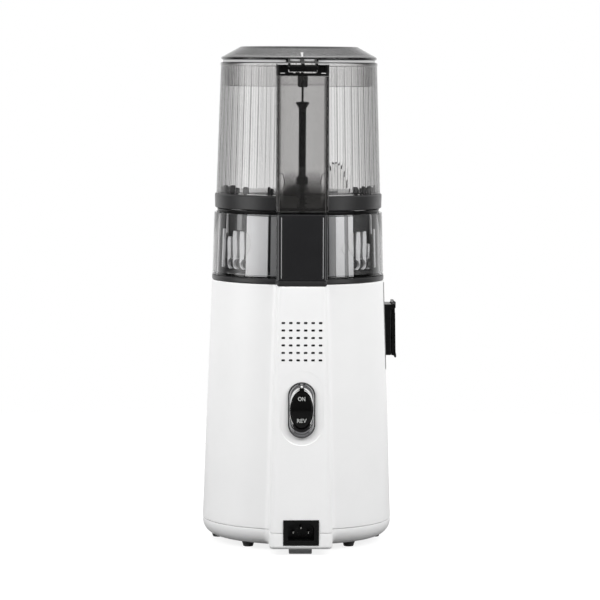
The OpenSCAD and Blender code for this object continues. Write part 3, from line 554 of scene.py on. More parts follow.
def put(part, frame_m):
    """A part drawn in millimetres in a frame, as world points."""
    s = Matrix.Scale(0.001, 4)
    return [tuple(frame_m @ s @ Vector(v)) for v in part[0]], part[1]


def stadium_r(w, h, a):
    """Distance from the middle of an upright stadium to its edge, in direction a (0 = +x)."""
    r, b = w / 2, (h - w) / 2
    c, s = math.cos(a), abs(math.sin(a))
    if abs(c) > 1e-9:
        t = r / abs(c)
        if t * s <= b:
            return t
    # round end: |t(c, s) - (0, b)| = r
    return b * s + math.sqrt(max(r * r - (b * c) ** 2, 0))


def ellipse_r(a, b, t):
    return 1 / math.sqrt((math.cos(t) / a) ** 2 + (math.sin(t) / b) ** 2)


SW_Z = 132.6
N_SW = 120
DIRS = [2 * pi * i / N_SW for i in range(N_SW)]


def sw_ring(fn, n):
    return [(fn(a) * math.cos(a), fn(a) * math.sin(a), n(a) if callable(n) else n) for a in DIRS]


def make_base():
    # outer shell
    zs = [21.3 + (243.3 - 21.3) * i / 48 for i in range(49)]
    rings = [body_section(20.9, 0.4), body_section(21.02, 0.12)]
    rings += [body_section(z) for z in zs]
    rings += [body_section(243.8, 0.14), body_section(244.1, 0.42), body_section(244.2, 0.8)]
    inner = body_section(244.2, 2.6)
    rings += [circle_like(inner, 78.7, 244.2), circle_like(inner, 78.3, 243.9), circle_like(inner, 78.3, 241.7)]
    rings += [body_section(241.6, 2.6)]
    rings += [body_section(z, 2.6) for z in (220, 180, 140, 112, 80, 50, 30, 21.3)]
    rings += [body_section(20.9, 2.3)]
    shell = make("base_body", *loft(rings, closed_path=True), "white", "base", "white_plastic", ["body_shell"], sharp=50)

    tools = []
    # vents: 6 x 6 small rounded slots through the column's face
    slot = fillet([(-1.68, -1.02, 0.75), (1.68, -1.02, 0.75), (1.68, 1.02, 0.75), (-1.68, 1.02, 0.75)], True, 4)
    many = []
    for i in range(6):
        for j in range(6):
            many.append(([(x + (i - 2.5) * 6.75, y + (j - 2.5) * 6.75, z) for x, y, z in prism(slot, -7, 5)[0]], prism(slot, -7, 5)[1]))
    tools.append(tool(*put(join(*many), on_column(194.5)), local=False))
    bars = [placed(rod(0.35, (-19.4, y, -2.75), (19.4, y, -2.75), 8), Matrix.Identity(4)) for y in [(j - 3) * 6.75 for j in range(7)]]
    frame_ = loft([[(x, y, -3.35) for x, y in rounded_rect(40.4, 41.4, 2.4, 6)], [(x, y, -2.8) for x, y in rounded_rect(40.4, 41.4, 2.4, 6)],
                   [(x, y, -2.65) for x, y in rounded_rect(40.0, 41.0, 2.2, 6)]], True, True)
    make("vent_dust_screen", *put(join(frame_, *bars), on_column(194.5)), "screen", "base", "black_plastic", sharp=50, local=False)
    # shallow dish round the switch, deeper at its foot
    m = on_column(SW_Z + 1.6)
    deep = lambda a: -lerp(0.10, 0.85, ((1 - math.sin(a)) / 2) ** 1.4)
    dish = [sw_ring(lambda a: stadium_r(39.6, 68.0, a), 6), sw_ring(lambda a: stadium_r(39.6, 68.0, a), 0.02),
            sw_ring(lambda a: stadium_r(39.6, 68.0, a) - 0.35 * abs(deep(a)), lambda a: deep(a) * 0.75),
            sw_ring(lambda a: stadium_r(39.6, 68.0, a) - 1.1 - 0.6 * abs(deep(a)), deep)]
    tools.append(tool(*put(loft(dish, True, True), m), local=False))
    hole = [sw_ring(lambda a: ellipse_r(11.6, 19.2, a), 6), sw_ring(lambda a: ellipse_r(11.6, 19.2, a), -9)]
    tools.append(tool(*put(loft(hole, True, True), on_column(SW_Z)), local=False))
    tools.append(tool(*block(-16.35, 16.35, 84, 125, 9.35, 32.75)))
    tools.append(tool(*rod(2.7, (0, 84, 238), (0, 84, 250))))
    cut(shell, tools, sharp=40)
    weighted(shell)

    # bottom cover
    pan = lambda z: 74 + math.sqrt(max(14.05**2 - (19.1 - z) ** 2, 0))

    def low(z, s=0.0, edge=0.0):
        return section(z, pan(z) - s, col_w(max(z, 6)) - 2 * s - 2 * edge, col_d(max(z, 6)) - s - edge, max(5.2 - s - edge, 0.8), 7.5 + s)

    def low_in(z, s, R):
        return section(z, R, col_w(max(z, 6)) - 2 * s, col_d(max(z, 6)) - s, max(5.2 - s, 0.8), 7.5 + s)

    ref = low(6.0, 0, 3.0)
    rings = [circle_like(ref, 73.2, 5.0), circle_like(ref, 74.3, 5.02), circle_like(ref, pan(5.3), 5.3), circle_like(ref, pan(5.6), 5.6), circle_like(ref, pan(5.95), 5.95)]
    for k in range(0, 9):
        q = pi / 2 * k / 8
        rings.append(low(6.0 + 3 * (1 - math.cos(q)), 0, 3 * (1 - math.sin(q))))
    rings += [low(z) for z in (10, 11, 12.5, 14, 16, 18, 20.1)]
    rings += [low(20.38, 0.12), low(20.5, 0.4), low(20.5, 2.75), low_in(23.6, 2.75, 85.2), low_in(24, 3.0, 84.9), low_in(24, 4.2, 83.9)]
    rings += [low_in(16, 4.2, 83.4), low_in(11.5, 4.2, 80.5)]
    inn = low_in(8.6, 4.2, 77.5)
    rings += [inn, circle_like(inn, 76.9, 8.5), circle_like(inn, 74.0, 7.6), circle_like(inn, 71, 7.6)]
    cover = make("base_underside", *loft(rings, True, True), "white", "base", "white_plastic", ["base_cover"], sharp=50)
    bosses = [rod(5.0, (46 * math.cos(math.radians(a)), 46 * math.sin(math.radians(a)), 6.5), (46 * math.cos(math.radians(a)), 46 * math.sin(math.radians(a)), 40)) for a in (45, 135, 225, 315)]
    bosses += [rod(4.2, (80 * math.cos(math.radians(a)), 80 * math.sin(math.radians(a)), 9), (80 * math.cos(math.radians(a)), 80 * math.sin(math.radians(a)), 20.6)) for a in (20, 160, -32, -148)]
    cut(cover, [tool(*join(*bosses))], "UNION", 40)
    holes = [rod(3.6, (46 * math.cos(math.radians(a)), 46 * math.sin(math.radians(a)), 0), (46 * math.cos(math.radians(a)), 46 * math.sin(math.radians(a)), 9)) for a in (45, 135, 225, 315)]
    thin = [rod(1.9, (46 * math.cos(math.radians(a)), 46 * math.sin(math.radians(a)), 8.9), (46 * math.cos(math.radians(a)), 46 * math.sin(math.radians(a)), 42)) for a in (45, 135, 225, 315)]
    side_holes = [rod(3.4, (80 * math.cos(math.radians(a)), 80 * math.sin(math.radians(a)), -1), (80 * math.cos(math.radians(a)), 80 * math.sin(math.radians(a)), 12.43), 37) for a in (20, 160, -32, -148)]
    slots = []
    for k in range(16):
        a = 2 * pi * k / 16
        s = fillet([(-8, -1.5, 1.4), (8, -1.5, 1.4), (8, 1.5, 1.4), (-8, 1.5, 1.4)], True, 4)
        part = prism(s, 0, 12)
        slots.append(placed(part, Matrix.Rotation(a, 4, "Z") @ Matrix.Translation((27, 0, 0))))
    cut(cover, [tool(*join(*holes, *slots)), tool(*join(*thin)), *[tool(*h) for h in side_holes], tool(*block(-16.35, 16.35, 84, 125, 9.35, 32.75))], sharp=40)
    weighted(cover)

    # slim dark strip down the base's flank, behind the juice spout: painted shadow along the body's edge
    rows = [(160.0, -0.3), (160.4, 0.05)] + [(z, 0.32) for z in (161.2, 170, 185, 205, 225, 238, 241.6)] + [(242.2, 0.1), (242.5, -0.3)]
    make("base_side_painted_shadow", *slab([(z, body_r(z) - 0.8, body_r(z) + g, -88.6, -80.0) for z, g in rows], 14, 0.3), "dark", "base", "dark_grey_plastic", sharp=50)

    # six round feet and the grey foot under the column
    prof = fillet([(0, 0.35), (2.9, 0.35, 0.2), (3.3, 0.0, 0.3), (4.5, 0.0, 0.9), (5.1, 2.6, 0.4), (5.7, 3.6, 0.5), (5.7, 6.4), (0, 6.4)], True, 4)
    feet = [revolve(prof, 40, c=p) for p in [(46.5, 50), (73.9, -7.8), (37.5, -62), (-46.5, 50), (-73.9, -7.8), (-37.5, -62)]]
    make("round_feet_rubber", *join(*feet), "rubber", "base", "black_rubber", ["round_feet"])
    outline = fillet([(86.2, 0.6, 0.8), (87.4, 0.0, 0.4), (88.7, 0.0, 0.3), (88.9, 0.6, 0.2), (89.5, 0.6, 0.2), (89.7, 0.0, 0.3), (91.2, 0, 0.3), (91.4, 0.6, 0.2), (92.0, 0.6, 0.2),
                      (92.2, 0, 0.3), (93.7, 0, 0.3), (93.9, 0.6, 0.2), (94.5, 0.6, 0.2), (94.7, 0, 0.3), (96.2, 0, 0.5), (97.0, 0.8, 0.6), (97.0, 6.6), (86.2, 6.6)], True, 2)
    xs = [(-10.4, 0.7), (-10.1, 0.2), (-9.7, 0.0), (9.7, 0.0), (10.1, 0.2), (10.4, 0.7)]
    rings = []
    for x, s in xs:
        cy, cz = 91.6, 3.3
        rings.append([(x, cy + (y - cy) * (1 - s / 5.4), cz + (z - cz) * (1 - s / 3.3 * 0.6)) for y, z in outline])
    make("rear_foot_pad", *loft(rings, True, True), "grey_foot", "base", "grey_rubber", ["rear_foot"])


def make_switch():
    m = on_column(SW_Z)
    so = lambda s: (lambda a: stadium_r(24.5 - 2 * s, 50.4 - 2 * s, a))
    eo = lambda s: (lambda a: ellipse_r(10.55 + s, 17.75 + s, a))
    mixr = lambda s, t: (lambda a: lerp(so(s)(a), eo(0)(a), t))
    rings = [sw_ring(so(0.15), -1.3), sw_ring(so(0), -1.1), sw_ring(so(0), 0.9), sw_ring(so(0.12), 1.25), sw_ring(so(0.4), 1.5), sw_ring(so(0.75), 1.6),
             sw_ring(so(1.05), 1.5), sw_ring(so(1.25), 1.25)]
    for t, n in ((0.06, 0.85), (0.13, 0.30), (0.20, 0.05), (0.27, 0.10), (0.33, 0.42), (0.38, 0.55), (0.43, 0.48), (0.50, 0.05), (0.60, -0.55), (0.72, -1.0), (0.84, -1.15), (0.90, -1.0), (0.94, -0.62), (0.97, -0.5)):
        rings.append(sw_ring(mixr(1.25, t), n))
    rings += [sw_ring(eo(0), -0.75), sw_ring(eo(0), -3.4), sw_ring(eo(0.9), -3.4), sw_ring(eo(0.9), -1.3)]
    make("switch_trim", *put(loft(rings, closed_path=True), m), "chrome", "base", "chrome_trim", ["switch_bezel"], sharp=60, local=False)
    # the rocker: an oval, gently roofed key on its barrel
    KX, KY = 10.05, 17.0
    front = lambda x, y: 0.62 - 0.087 * (math.sqrt(y * y + 1.4) - 1.18) - 0.0035 * x * x
    rings = []
    for s, drop in ((0.90, -4.6), (0.955, -3.0), (0.985, -1.5)):
        rings.append([(KX * s * math.cos(a), KY * s * math.sin(a), drop) for a in DIRS])
    for s, drop in ((0.992, 1.0), (0.985, 0.62), (0.965, 0.3), (0.935, 0.10), (0.89, 0.0), (0.75, 0), (0.55, 0), (0.35, 0), (0.15, 0), (0.04, 0)):
        rings.append([(KX * s * math.cos(a), KY * s * math.sin(a), front(KX * s * math.cos(a), KY * s * math.sin(a)) - drop) for a in DIRS])
    make("switch_key", *put(loft(rings, True, True), m), "black_gloss", "rocker", "black_plastic", ["switch_rocker"], sharp=60, local=False)
    # lettering, and the small pale dot on the trim
    for text, y, wide in (("ON", 9.9, 0.80), ("REV", -9.9, 0.97)):
        cu = bpy.data.curves.new("word", "FONT")
        cu.body, cu.size, cu.align_x, cu.align_y = text, 5.4, "CENTER", "CENTER"
        cu.extrude, cu.offset = 0.10, 0.10
        ob = bpy.data.objects.new("word", cu)
        scene.collection.objects.link(ob)
        bpy.context.view_layer.update()
        me = bpy.data.meshes.new_from_object(ob.evaluated_get(bpy.context.evaluated_depsgraph_get()))
        bpy.data.objects.remove(ob)
        tilt = Matrix.Rotation(math.radians(-5 if y > 0 else 5), 4, "X")
        place = m @ Matrix.Scale(0.001, 4) @ Matrix.Translation((0, y, front(0, y) + 0.02)) @ tilt @ Matrix.Diagonal((wide, 0.95, 1, 1))
        me.transform(place)
        ob = bpy.data.objects.new("lettering_" + text.lower(), me)
        me.materials.clear()
        me.materials.append(M["lettering"])
        scene.collection.objects.link(ob)
        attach(ob, "rocker")
    # inner lip and crescents in pale plastic: painted highlights of the polished trim; the lip's foot in black: painted
    # shade; dark outer seam
    def arc_strip(a0, a1, s0, s1, levels, n=72):
        rings = []
        for nn, e in levels:
            span = [math.radians(lerp(a0, a1, i / n)) for i in range(n + 1)]
            flat = [(eo(s0 + e)(a) * math.cos(a), eo(s0 + e)(a) * math.sin(a)) for a in span] + [(eo(s1 - e)(a) * math.cos(a), eo(s1 - e)(a) * math.sin(a)) for a in span[::-1]]
            rings.append([(x, y, nn) for x, y in flat])
        return loft(rings, True, True)

    # pale lip round the top and sides of the rocker: painted highlight of the chrome trim
    make("switch_inner_lip_highlight", *put(arc_strip(-58, 238, 0.10, 0.62, ((-1.2, 0), (0.02, 0), (0.16, 0.12))), m), "white", "base", "chrome_trim", sharp=60, local=False)
    # black foot sector of the lip: painted shade under the rocker
    make("switch_foot_lip_shade", *put(arc_strip(238.5, 301.5, 0.10, 0.62, ((-1.2, 0), (-0.1, 0), (0.04, 0.12)), 30), m), "screen", "base", "black_plastic", sharp=60, local=False)
    # dark crescent below the rocker's foot: painted shade
    inner, outer = [], []
    for i in range(37):
        a = math.radians(lerp(240, 300, i / 36))
        h = 2.9 * max(math.sin(pi * i / 36), 0.06) ** 0.9
        r = mixr(1.25, 0.75)(a)
        inner.append((r - h / 2, a))
        outer.append((r + h / 2, a))
    flat = [(r * math.cos(a), r * math.sin(a)) for r, a in inner + outer[::-1]]
    make("switch_foot_shade_crescent", *put(loft([[(x, y, n) for x, y in flat] for n in (-1.2, -0.35)], True, True), m), "screen", "base", "black_plastic", sharp=40, local=False)
    seam = [sw_ring(so(-0.12), -0.6), sw_ring(so(-0.12), 1.0), sw_ring(so(0.0), 1.45), sw_ring(so(0.28), 1.78), sw_ring(so(0.55), 1.72), sw_ring(so(0.65), 1.35), sw_ring(so(0.65), -0.6)]
    make("switch_outer_seam", *put(loft(seam, closed_path=True), m), "screen", "base", "black_plastic", sharp=60, local=False)
    # pale crescents and wedges on the trim: painted highlights of the chrome
    arcs = []
    for a0, a1, t, w, top in ((22, 82, 0.11, 0.46, 1.05), (98, 158, 0.11, 0.46, 1.05), (27, 80, 0.76, 1.5, 0.2), (100, 153, 0.76, 1.5, 0.2), (206, 250, 0.14, 0.34, 1.0), (290, 334, 0.14, 0.34, 1.0)):
        inner, outer = [], []
        for i in range(25):
            a = math.radians(lerp(a0, a1, i / 24))
            h = w * max(math.sin(pi * i / 24), 0.06) ** 0.7
            r = mixr(1.25, t)(a)
            inner.append((r - h / 2, a))
            outer.append((r + h / 2, a))
        flat = [(r * math.cos(a), r * math.sin(a)) for r, a in inner + outer[::-1]]
        arcs.append(loft([[(x, y, n) for x, y in flat] for n in (-1.2, top)], True, True))
    make("switch_highlight_crescents", *put(join(*arcs), m), "white", "base", "chrome_trim", sharp=40, local=False)
    neck = fillet([(-2.3, 16.6), (-1.95, 19.0, 0.6), (-1.5, 21.9, 0.8), (1.5, 21.9, 0.8), (1.95, 19.0, 0.6), (2.3, 16.6)], True, 5)
    rings = [[(x * k, 19.2 + (y - 19.2) * k, n) for x, y in neck] for k, n in ((1.0, -1.25), (1.0, 0.20), (0.95, 0.38), (0.84, 0.45))]
    make("switch_neck", *put(loft(rings, True, True), m), "black_gloss", "base", "black_plastic", sharp=60, local=False)
    dot = revolve(fillet([(0, -0.4), (1.15, -0.4), (1.15, 0.45, 0.3), (0.5, 0.7, 0.3), (0, 0.72)], True, 4), 28)
    make("switch_dot", *put(placed(dot, Matrix.Translation((0, 21.0, 0.35))), m), "white", "base", "grey_plastic", sharp=60, local=False)


def make_inlet():
    frame_o = fillet([(-16.2, 9.5, 1.2), (16.2, 9.5, 1.2), (16.2, 32.6, 1.2), (-16.2, 32.6, 1.2)], True, 5)
    mouth = fillet([(-12, 14, 0.8), (12, 14, 0.8), (12, 26.2, 0.8), (8.4, 29.8, 0.8), (-8.4, 29.8, 0.8), (-12, 26.2, 0.8)], True, 5)

    def ring(outline, y, s=0.0):
        cx, cz = 0.0, 21.4
        return [(cx + (x - cx) * (1 - s / 14), y, cz + (z - cz) * (1 - s / 9)) for x, z in outline]

    rings = [ring(frame_o, 90), ring(frame_o, 108.9), ring(frame_o, 109.25, 0.15), ring(frame_o, 109.4, 0.5)]
    body = make("inlet_body", *loft(rings, True, True), "black", "base", "black_plastic", ["inlet_socket"], sharp=40)
    t1 = loft([ring(mouth, 112, -1.0), ring(mouth, 109.5, -0.6), ring(mouth, 109.0, 0.0), ring(mouth, 94, 0.25)], True, True)
    t2 = loft([ring([(x * 1.16, 21.4 + (z - 21.4) * 1.2) for x, z in mouth], 112), ring([(x * 1.16, 21.4 + (z - 21.4) * 1.2) for x, z in mouth], 108.8)], True, True)
    cut(body, [tool(*t2), tool(*t1)])
    weighted(body)
    pins = []
    for x, z0, tip in ((-7, 19.6, 104.5), (7, 19.6, 104.5), (0, 23.8, 105.5)):
        o = fillet([(x - 1, z0, 0.3), (x + 1, z0, 0.3), (x + 1, z0 + 2.5, 0.3), (x - 1, z0 + 2.5, 0.3)], True, 3)
        rings = []
        for y, s in ((84, 0.25), (84.3, 0), (tip - 1.4, 0), (tip - 0.6, 0.22), (tip - 0.15, 0.45), (tip, 0.7)):
            rings.append([(x + (u - x) * (1 - s), y, z0 + 1.25 + (v - z0 - 1.25) * (1 - s * 0.5)) for u, v in o])
        pins.append(loft(rings, True, True))
    make("inlet_contacts", *join(*pins), "pin", "base", "pin_metal", ["inlet_pins"])


# ------------------------------------------------------------------ bowl


def make_bowl():
    # ring under the bowl with the foot of the spine
    def sec(z, R, w, d, s=0.0):
        return section(z, R - s, w - 2 * s, d - s, max(2.6 - s, 0.5), 2.0 + s)

    ref = sec(246, 80.2, 44.8, 101)
    rings = [sec(244.55, 80.2, 44.8, 101, 0.9), sec(244.75, 80.2, 44.8, 101, 0.35), sec(245.1, 80.2, 44.8, 101, 0.05), sec(245.6, 80.2, 44.8, 101),
             sec(248.2, 80.2, 44.8, 100.9), sec(248.75, 80.2, 44.8, 100.9, 0.2), sec(249.05, 80.2, 44.8, 100.9, 0.6), sec(249.18, 80.2, 44.8, 100.9, 1.1)]
    rings += [circle_like(ref, 66.5, 249.18), circle_like(ref, 66, 248.7), circle_like(ref, 66, 245), circle_like(ref, 66.5, 244.55)]
    r = make("bowl_foot_ring", *loft(rings, closed_path=True), "dark", "chamber", "dark_grey_plastic", ["bowl_base_ring"], sharp=60)
    cut(r, [tool(*rod(2.7, (0, 84, 240), (0, 84, 255)))])
    weighted(r)

    # clear bowl: plain outside and inside
    ro = lambda z: lerp(80.0, 78.3, (z - 249.2) / 58.3)
    ang = [2 * pi * i / 288 for i in range(288)]

    def ring(z, r):
        return [(r * math.cos(a), r * math.sin(a), z) for a in ang]

    rings = [ring(249.25, ro(250) - 1.0), ring(249.4, ro(250) - 0.4), ring(249.8, ro(250) - 0.08), ring(250.4, ro(250.4)), ring(280, ro(280)), ring(306.4, ro(306.4)),
             ring(307.0, ro(307) - 0.12), ring(307.35, ro(307) - 0.45), ring(307.45, ro(307) - 0.9), ring(307.45, ro(307) - 1.6), ring(307.2, ro(307) - 2.25)]
    rings += [ring(306.0, ro(306) - 2.4), ring(280, ro(280) - 2.4), ring(256, ro(256) - 2.4), ring(252.0, ro(252) - 2.6), ring(250.9, ro(252) - 4.2), ring(250.7, ro(252) - 6)]
    rings += [ring(250.7, 17.6), ring(250.4, 17.25), ring(249.6, 17.25), ring(249.25, 17.6)]
    bowl = make("bowl_wall", *loft(rings, closed_path=True), "bowl", "chamber", "clear_plastic", ["juice_bowl"], sharp=50)

    # spine: black box on the back of the bowl
    y_in = 79.0
    def box(z, w, d, s=0.0):
        h = w / 2 - s
        d = d - s
        r = max(3.9 - s, 0.5)
        return [(x, y, z) for x, y in fillet([(-h, y_in), (h, y_in), (h, d, r), (-h, d, r)], True, 10)]
    dd = lambda z: lerp(100.7, 98.5, (z - 249.2) / 58.3)
    rings = [box(249.25, 46.4, dd(249.3), 1.0), box(249.35, 46.4, dd(249.3), 0.45), box(249.7, 46.4, dd(249.7), 0.08), box(250.2, 46.4, dd(250.2))]
    rings += [box(z, 46.4, dd(z)) for z in (260, 270, 280, 290, 300, 308.2)]
    rings += [box(308.7, 46.4, dd(308.5), 0.15), box(309.1, 46.4, dd(308.5), 0.6), box(309.2, 46.4, dd(308.5), 1.1)]
    sp = make("bowl_spine_cover", *loft(rings, True, True), "spine_black", "chamber", "black_plastic", ["bowl_spine"], sharp=50)
    drum = revolve([(0, 248), (ro(249) + 0.02, 248), (ro(308) + 0.02, 309), (ro(308) + 0.02, 312), (0, 312)], 200)
    cut(sp, [tool(*drum), tool(*rod(2.7, (0, 84, 240), (0, 84, 320)))])
    weighted(sp)

    # slim raised beads down the spine's back in pale grey: real ridges that catch light, with the pale colour painting
    # the highlight lines of the rounded corners
    beads = []
    for cx, w in ((18.9, 0.42), (-18.9, 0.42)):
        rings = []
        for z, up in ((251.0, -0.4), (251.4, 0.16), (252.2, 0.30), (270, 0.30), (290, 0.30), (305.6, 0.30), (306.4, 0.16), (306.8, -0.4)):
            y = dd(z) + up
            rings.append([(cx - w, dd(z) - 0.9, z), (cx - w, y - 0.14, z), (cx - w * 0.6, y, z), (cx + w * 0.6, y, z), (cx + w, y - 0.14, z), (cx + w, dd(z) - 0.9, z)])
        beads.append(loft(rings, True, True))
    make("bowl_spine_highlight_beads", *join(*beads), "edge", "chamber", "grey_plastic", sharp=50)

    # gasket on top of the bowl
    prof = fillet([(71, 307.6), (75.4, 307.6, 0.5), (75.7, 308.3, 0.3), (74.9, 308.9, 0.2), (75.6, 309.5, 0.3), (75.3, 310.6, 0.5), (71, 310.6, 0.6)], True, 4)
    g = make("bowl_gasket_seal", *revolve(prof, 200), "black", "chamber", "black_rubber", ["bowl_gasket"])
    tail = loft([box(309.3, 44, 96, 0.4), box(309.5, 44, 96, 0.1), box(309.8, 44, 96), box(310.4, 44, 96), box(310.7, 44, 96, 0.5)], True, True)
    make("bowl_gasket_tail", *tail, "black", "chamber", "black_rubber")


def slab(rows, n=8, crown=0.3):
    """An upright curved plate. Each row is (z, inner r, outer r, from, to), with angles in degrees from the rear, + to +X."""
    rings = []
    for z, ri, ro, t0, t1 in rows:
        row = []
        for i in range(n + 1):
            u = i / n
            a = math.radians(90 - lerp(t0, t1, u))
            r = ro - crown * abs(2 * u - 1) ** 5
            row.append((r * math.cos(a), r * math.sin(a), z))
        for i in range(n, -1, -1):
            a = math.radians(90 - lerp(t0, t1, i / n))
            row.append((ri * math.cos(a), ri * math.sin(a), z))
        rings.append(row)
    return loft(rings, True, True)


def make_strainer():
    # dark drum with a dark crown
    drum = fillet([(58, 252.3), (74.6, 252.3, 0.5), (74.6, 254.4, 0.5), (70.6, 255.2, 0.6), (69.8, 257, 0.8), (69.8, 290.6, 0.4), (73.2, 291.2, 0.4), (73.2, 306.0, 0.6), (63, 306.0, 0.5),
                   (63, 300, 0.5), (62.6, 296, 1.0), (60.4, 258, 1.0), (58, 255, 0.5)], True, 4)
    make("strainer_drum", *revolve(drum, 200), "screen", "chamber", "screen_plastic", ["strainer"])

    # pale staves, each with a hook at its foot
    staves, hooks = [], []
    tops = {1: (292.0, 292.2, 285.2), -1: (291.2, 291.4, 279.4)}
    per = 72 * pi / 180
    for side in (1, -1):
        for k in range(17):
            c = 47.5 + 7.9 * k
            top = tops[side][k] if k < 3 else 291.4
            rows = []
            for z, near, far, swell in ((top, -2.0, 1.9, -0.35), (top - 0.5, -2.3, 2.1, 0.0), (lerp(top, 277, 0.4), -2.6, 2.2, 0.35), (lerp(top, 277, 0.75), -3.0, 2.1, 0.5), (276.5, -3.2, 2.0, 0.55), (272, -3.0, 2.1, 0.4),
                                        (268.4, -2.5, 2.2, 0.2), (265.8, -1.6, 2.3, 0.1), (264.0, -0.3, 2.4, 0.0), (262.6, 1.0, 2.4, 0.0), (261.9, 1.8, 2.3, -0.2)):
                t = sorted((side * (c + near), side * (c + far)))
                rows.append((z, 69.2, 72.3 + swell, t[0], t[1]))
            staves.append(slab(rows, 8, 0.55))
            path = [(-2.9, 266.2), (-1.2, 265.3), (0.2, 263.9), (1.1, 262.0), (1.2, 260.0), (0.5, 258.2), (-0.9, 257.0), (-2.7, 256.6)]
            pts = [Vector((t * per, z)) for t, z in path]
            rings = []
            for i, p in enumerate(pts):
                d = (pts[min(i + 1, len(pts) - 1)] - pts[max(i - 1, 0)]).normalized()
                w = 0.62 if 0 < i < len(pts) - 1 else 0.42
                row = []
                for off, r in ((w, 69.2), (w, 72.0), (w * 0.55, 72.5), (-w * 0.55, 72.5), (-w, 72.0), (-w, 69.2)):
                    q = p + Vector((-d.y, d.x)) * off
                    a = math.radians(90 - side * (c + q.x / per))
                    row.append((r * math.cos(a), r * math.sin(a), q.y))
                rings.append(row)
            hooks.append(loft(rings, True, True))
    make("strainer_staves", *join(*staves), "fin", "chamber", "grey_plastic", sharp=30)
    make("strainer_hooks", *join(*hooks), "fin", "chamber", "grey_plastic", sharp=40)

    # upright plates between the screen and the bowl: pale ones near the spine, a dark comb with pale posts at the flanks
    wall = lambda z: lerp(80.0, 78.3, (z - 249.2) / 58.3) - 2.4

    def plate(t0, t1, z0, z1, back, gap, n=8, crown=0.25, cut_=0.25):
        zs = [(z0, cut_, cut_), (z0 + 0.4, 0, 0), (lerp(z0, z1, 0.33), 0, 0), (lerp(z0, z1, 0.66), 0, 0), (z1 - 0.4, 0, 0), (z1, cut_, cut_)]
        return slab([(z, wall(z) - back, wall(z) - gap - g, t0 + c / 2, t1 - c / 2) for z, g, c in zs], n, crown)

    make("strainer_plates", *join(plate(23.3, 40.4, 251.0, 305.6, 2.0, 0.7, 16), plate(-31.4, -24.5, 251.0, 305.6, 2.0, 0.7), plate(-39.0, -34.6, 251.0, 305.6, 2.0, 0.7)),
         "fin", "chamber", "grey_plastic", sharp=40)
    make("strainer_grey_plates", *join(plate(-24.3, -19.6, 251.0, 305.6, 2.3, 1.2), plate(-34.4, -31.6, 251.0, 305.6, 2.3, 1.3), plate(45.6, 50.2, 292.2, 305.8, 2.6, 1.6), plate(15.6, 21.4, 251.0, 305.6, 2.2, 1.1)),
         "grey_fin", "chamber", "grey_plastic", sharp=40)

    def lens(edge, mid, z0, z1, gap):
        rows = []
        for i in range(15):
            u = i / 14
            t = lerp(edge, mid, max(math.sin(pi * u), 0.04) ** 0.8)
            z = lerp(z0, z1, u)
            a = sorted((edge, t))
            rows.append((z, wall(z) - gap - 0.5, wall(z) - gap, a[0], a[1]))
        return slab(rows, 4, 0.1)

    # white lens-shaped pads on the plates: painted highlights
    make("strainer_highlight_pads", *join(lens(40.2, 36.6, 270.5, 291.5, 0.3), lens(-38.8, -34.4, 269.0, 291.5, 0.3), lens(-31.3, -29.0, 271.5, 281.8, 0.3)), "white", "chamber", "white_plastic", sharp=40)
    comb, posts = [], []
    for side in (1, -1):
        t = sorted((side * (65.0 if side > 0 else 61.5), side * 118.0))
        h = 0.0 if side > 0 else -1.7
        comb.append(slab([(z, wall(z) - 2.7, wall(z) - 1.3, t[0], t[1]) for z in (251.0, 270, 290, 306.2)], 30, 0))
        for c, hw, z0, z1, gap in ((61.6 + h, 0.4, 288.5, 306.0, 0.9), (65.6 + h, 1.0, 257.5, 292.5, 0.5), (74.0 + h, 1.45, 251.0, 306.0, 0.3), (84.0 + h, 2.1, 251.0, 306.0, 0.3),
                                   (95.0, 2.1, 251.0, 306.0, 0.3), (105.0, 1.5, 251.0, 306.0, 0.3), (113.0, 1.1, 251.0, 306.0, 0.3)):
            a = sorted((side * (c - hw), side * (c + hw)))
            posts.append(plate(a[0], a[1], z0, z1, 2.4, gap, 3, 0.15, 0.1))
    make("strainer_comb", *join(*comb), "screen", "chamber", "screen_plastic", sharp=40)
    make("strainer_posts", *join(*posts), "fin", "chamber", "grey_plastic", sharp=40)


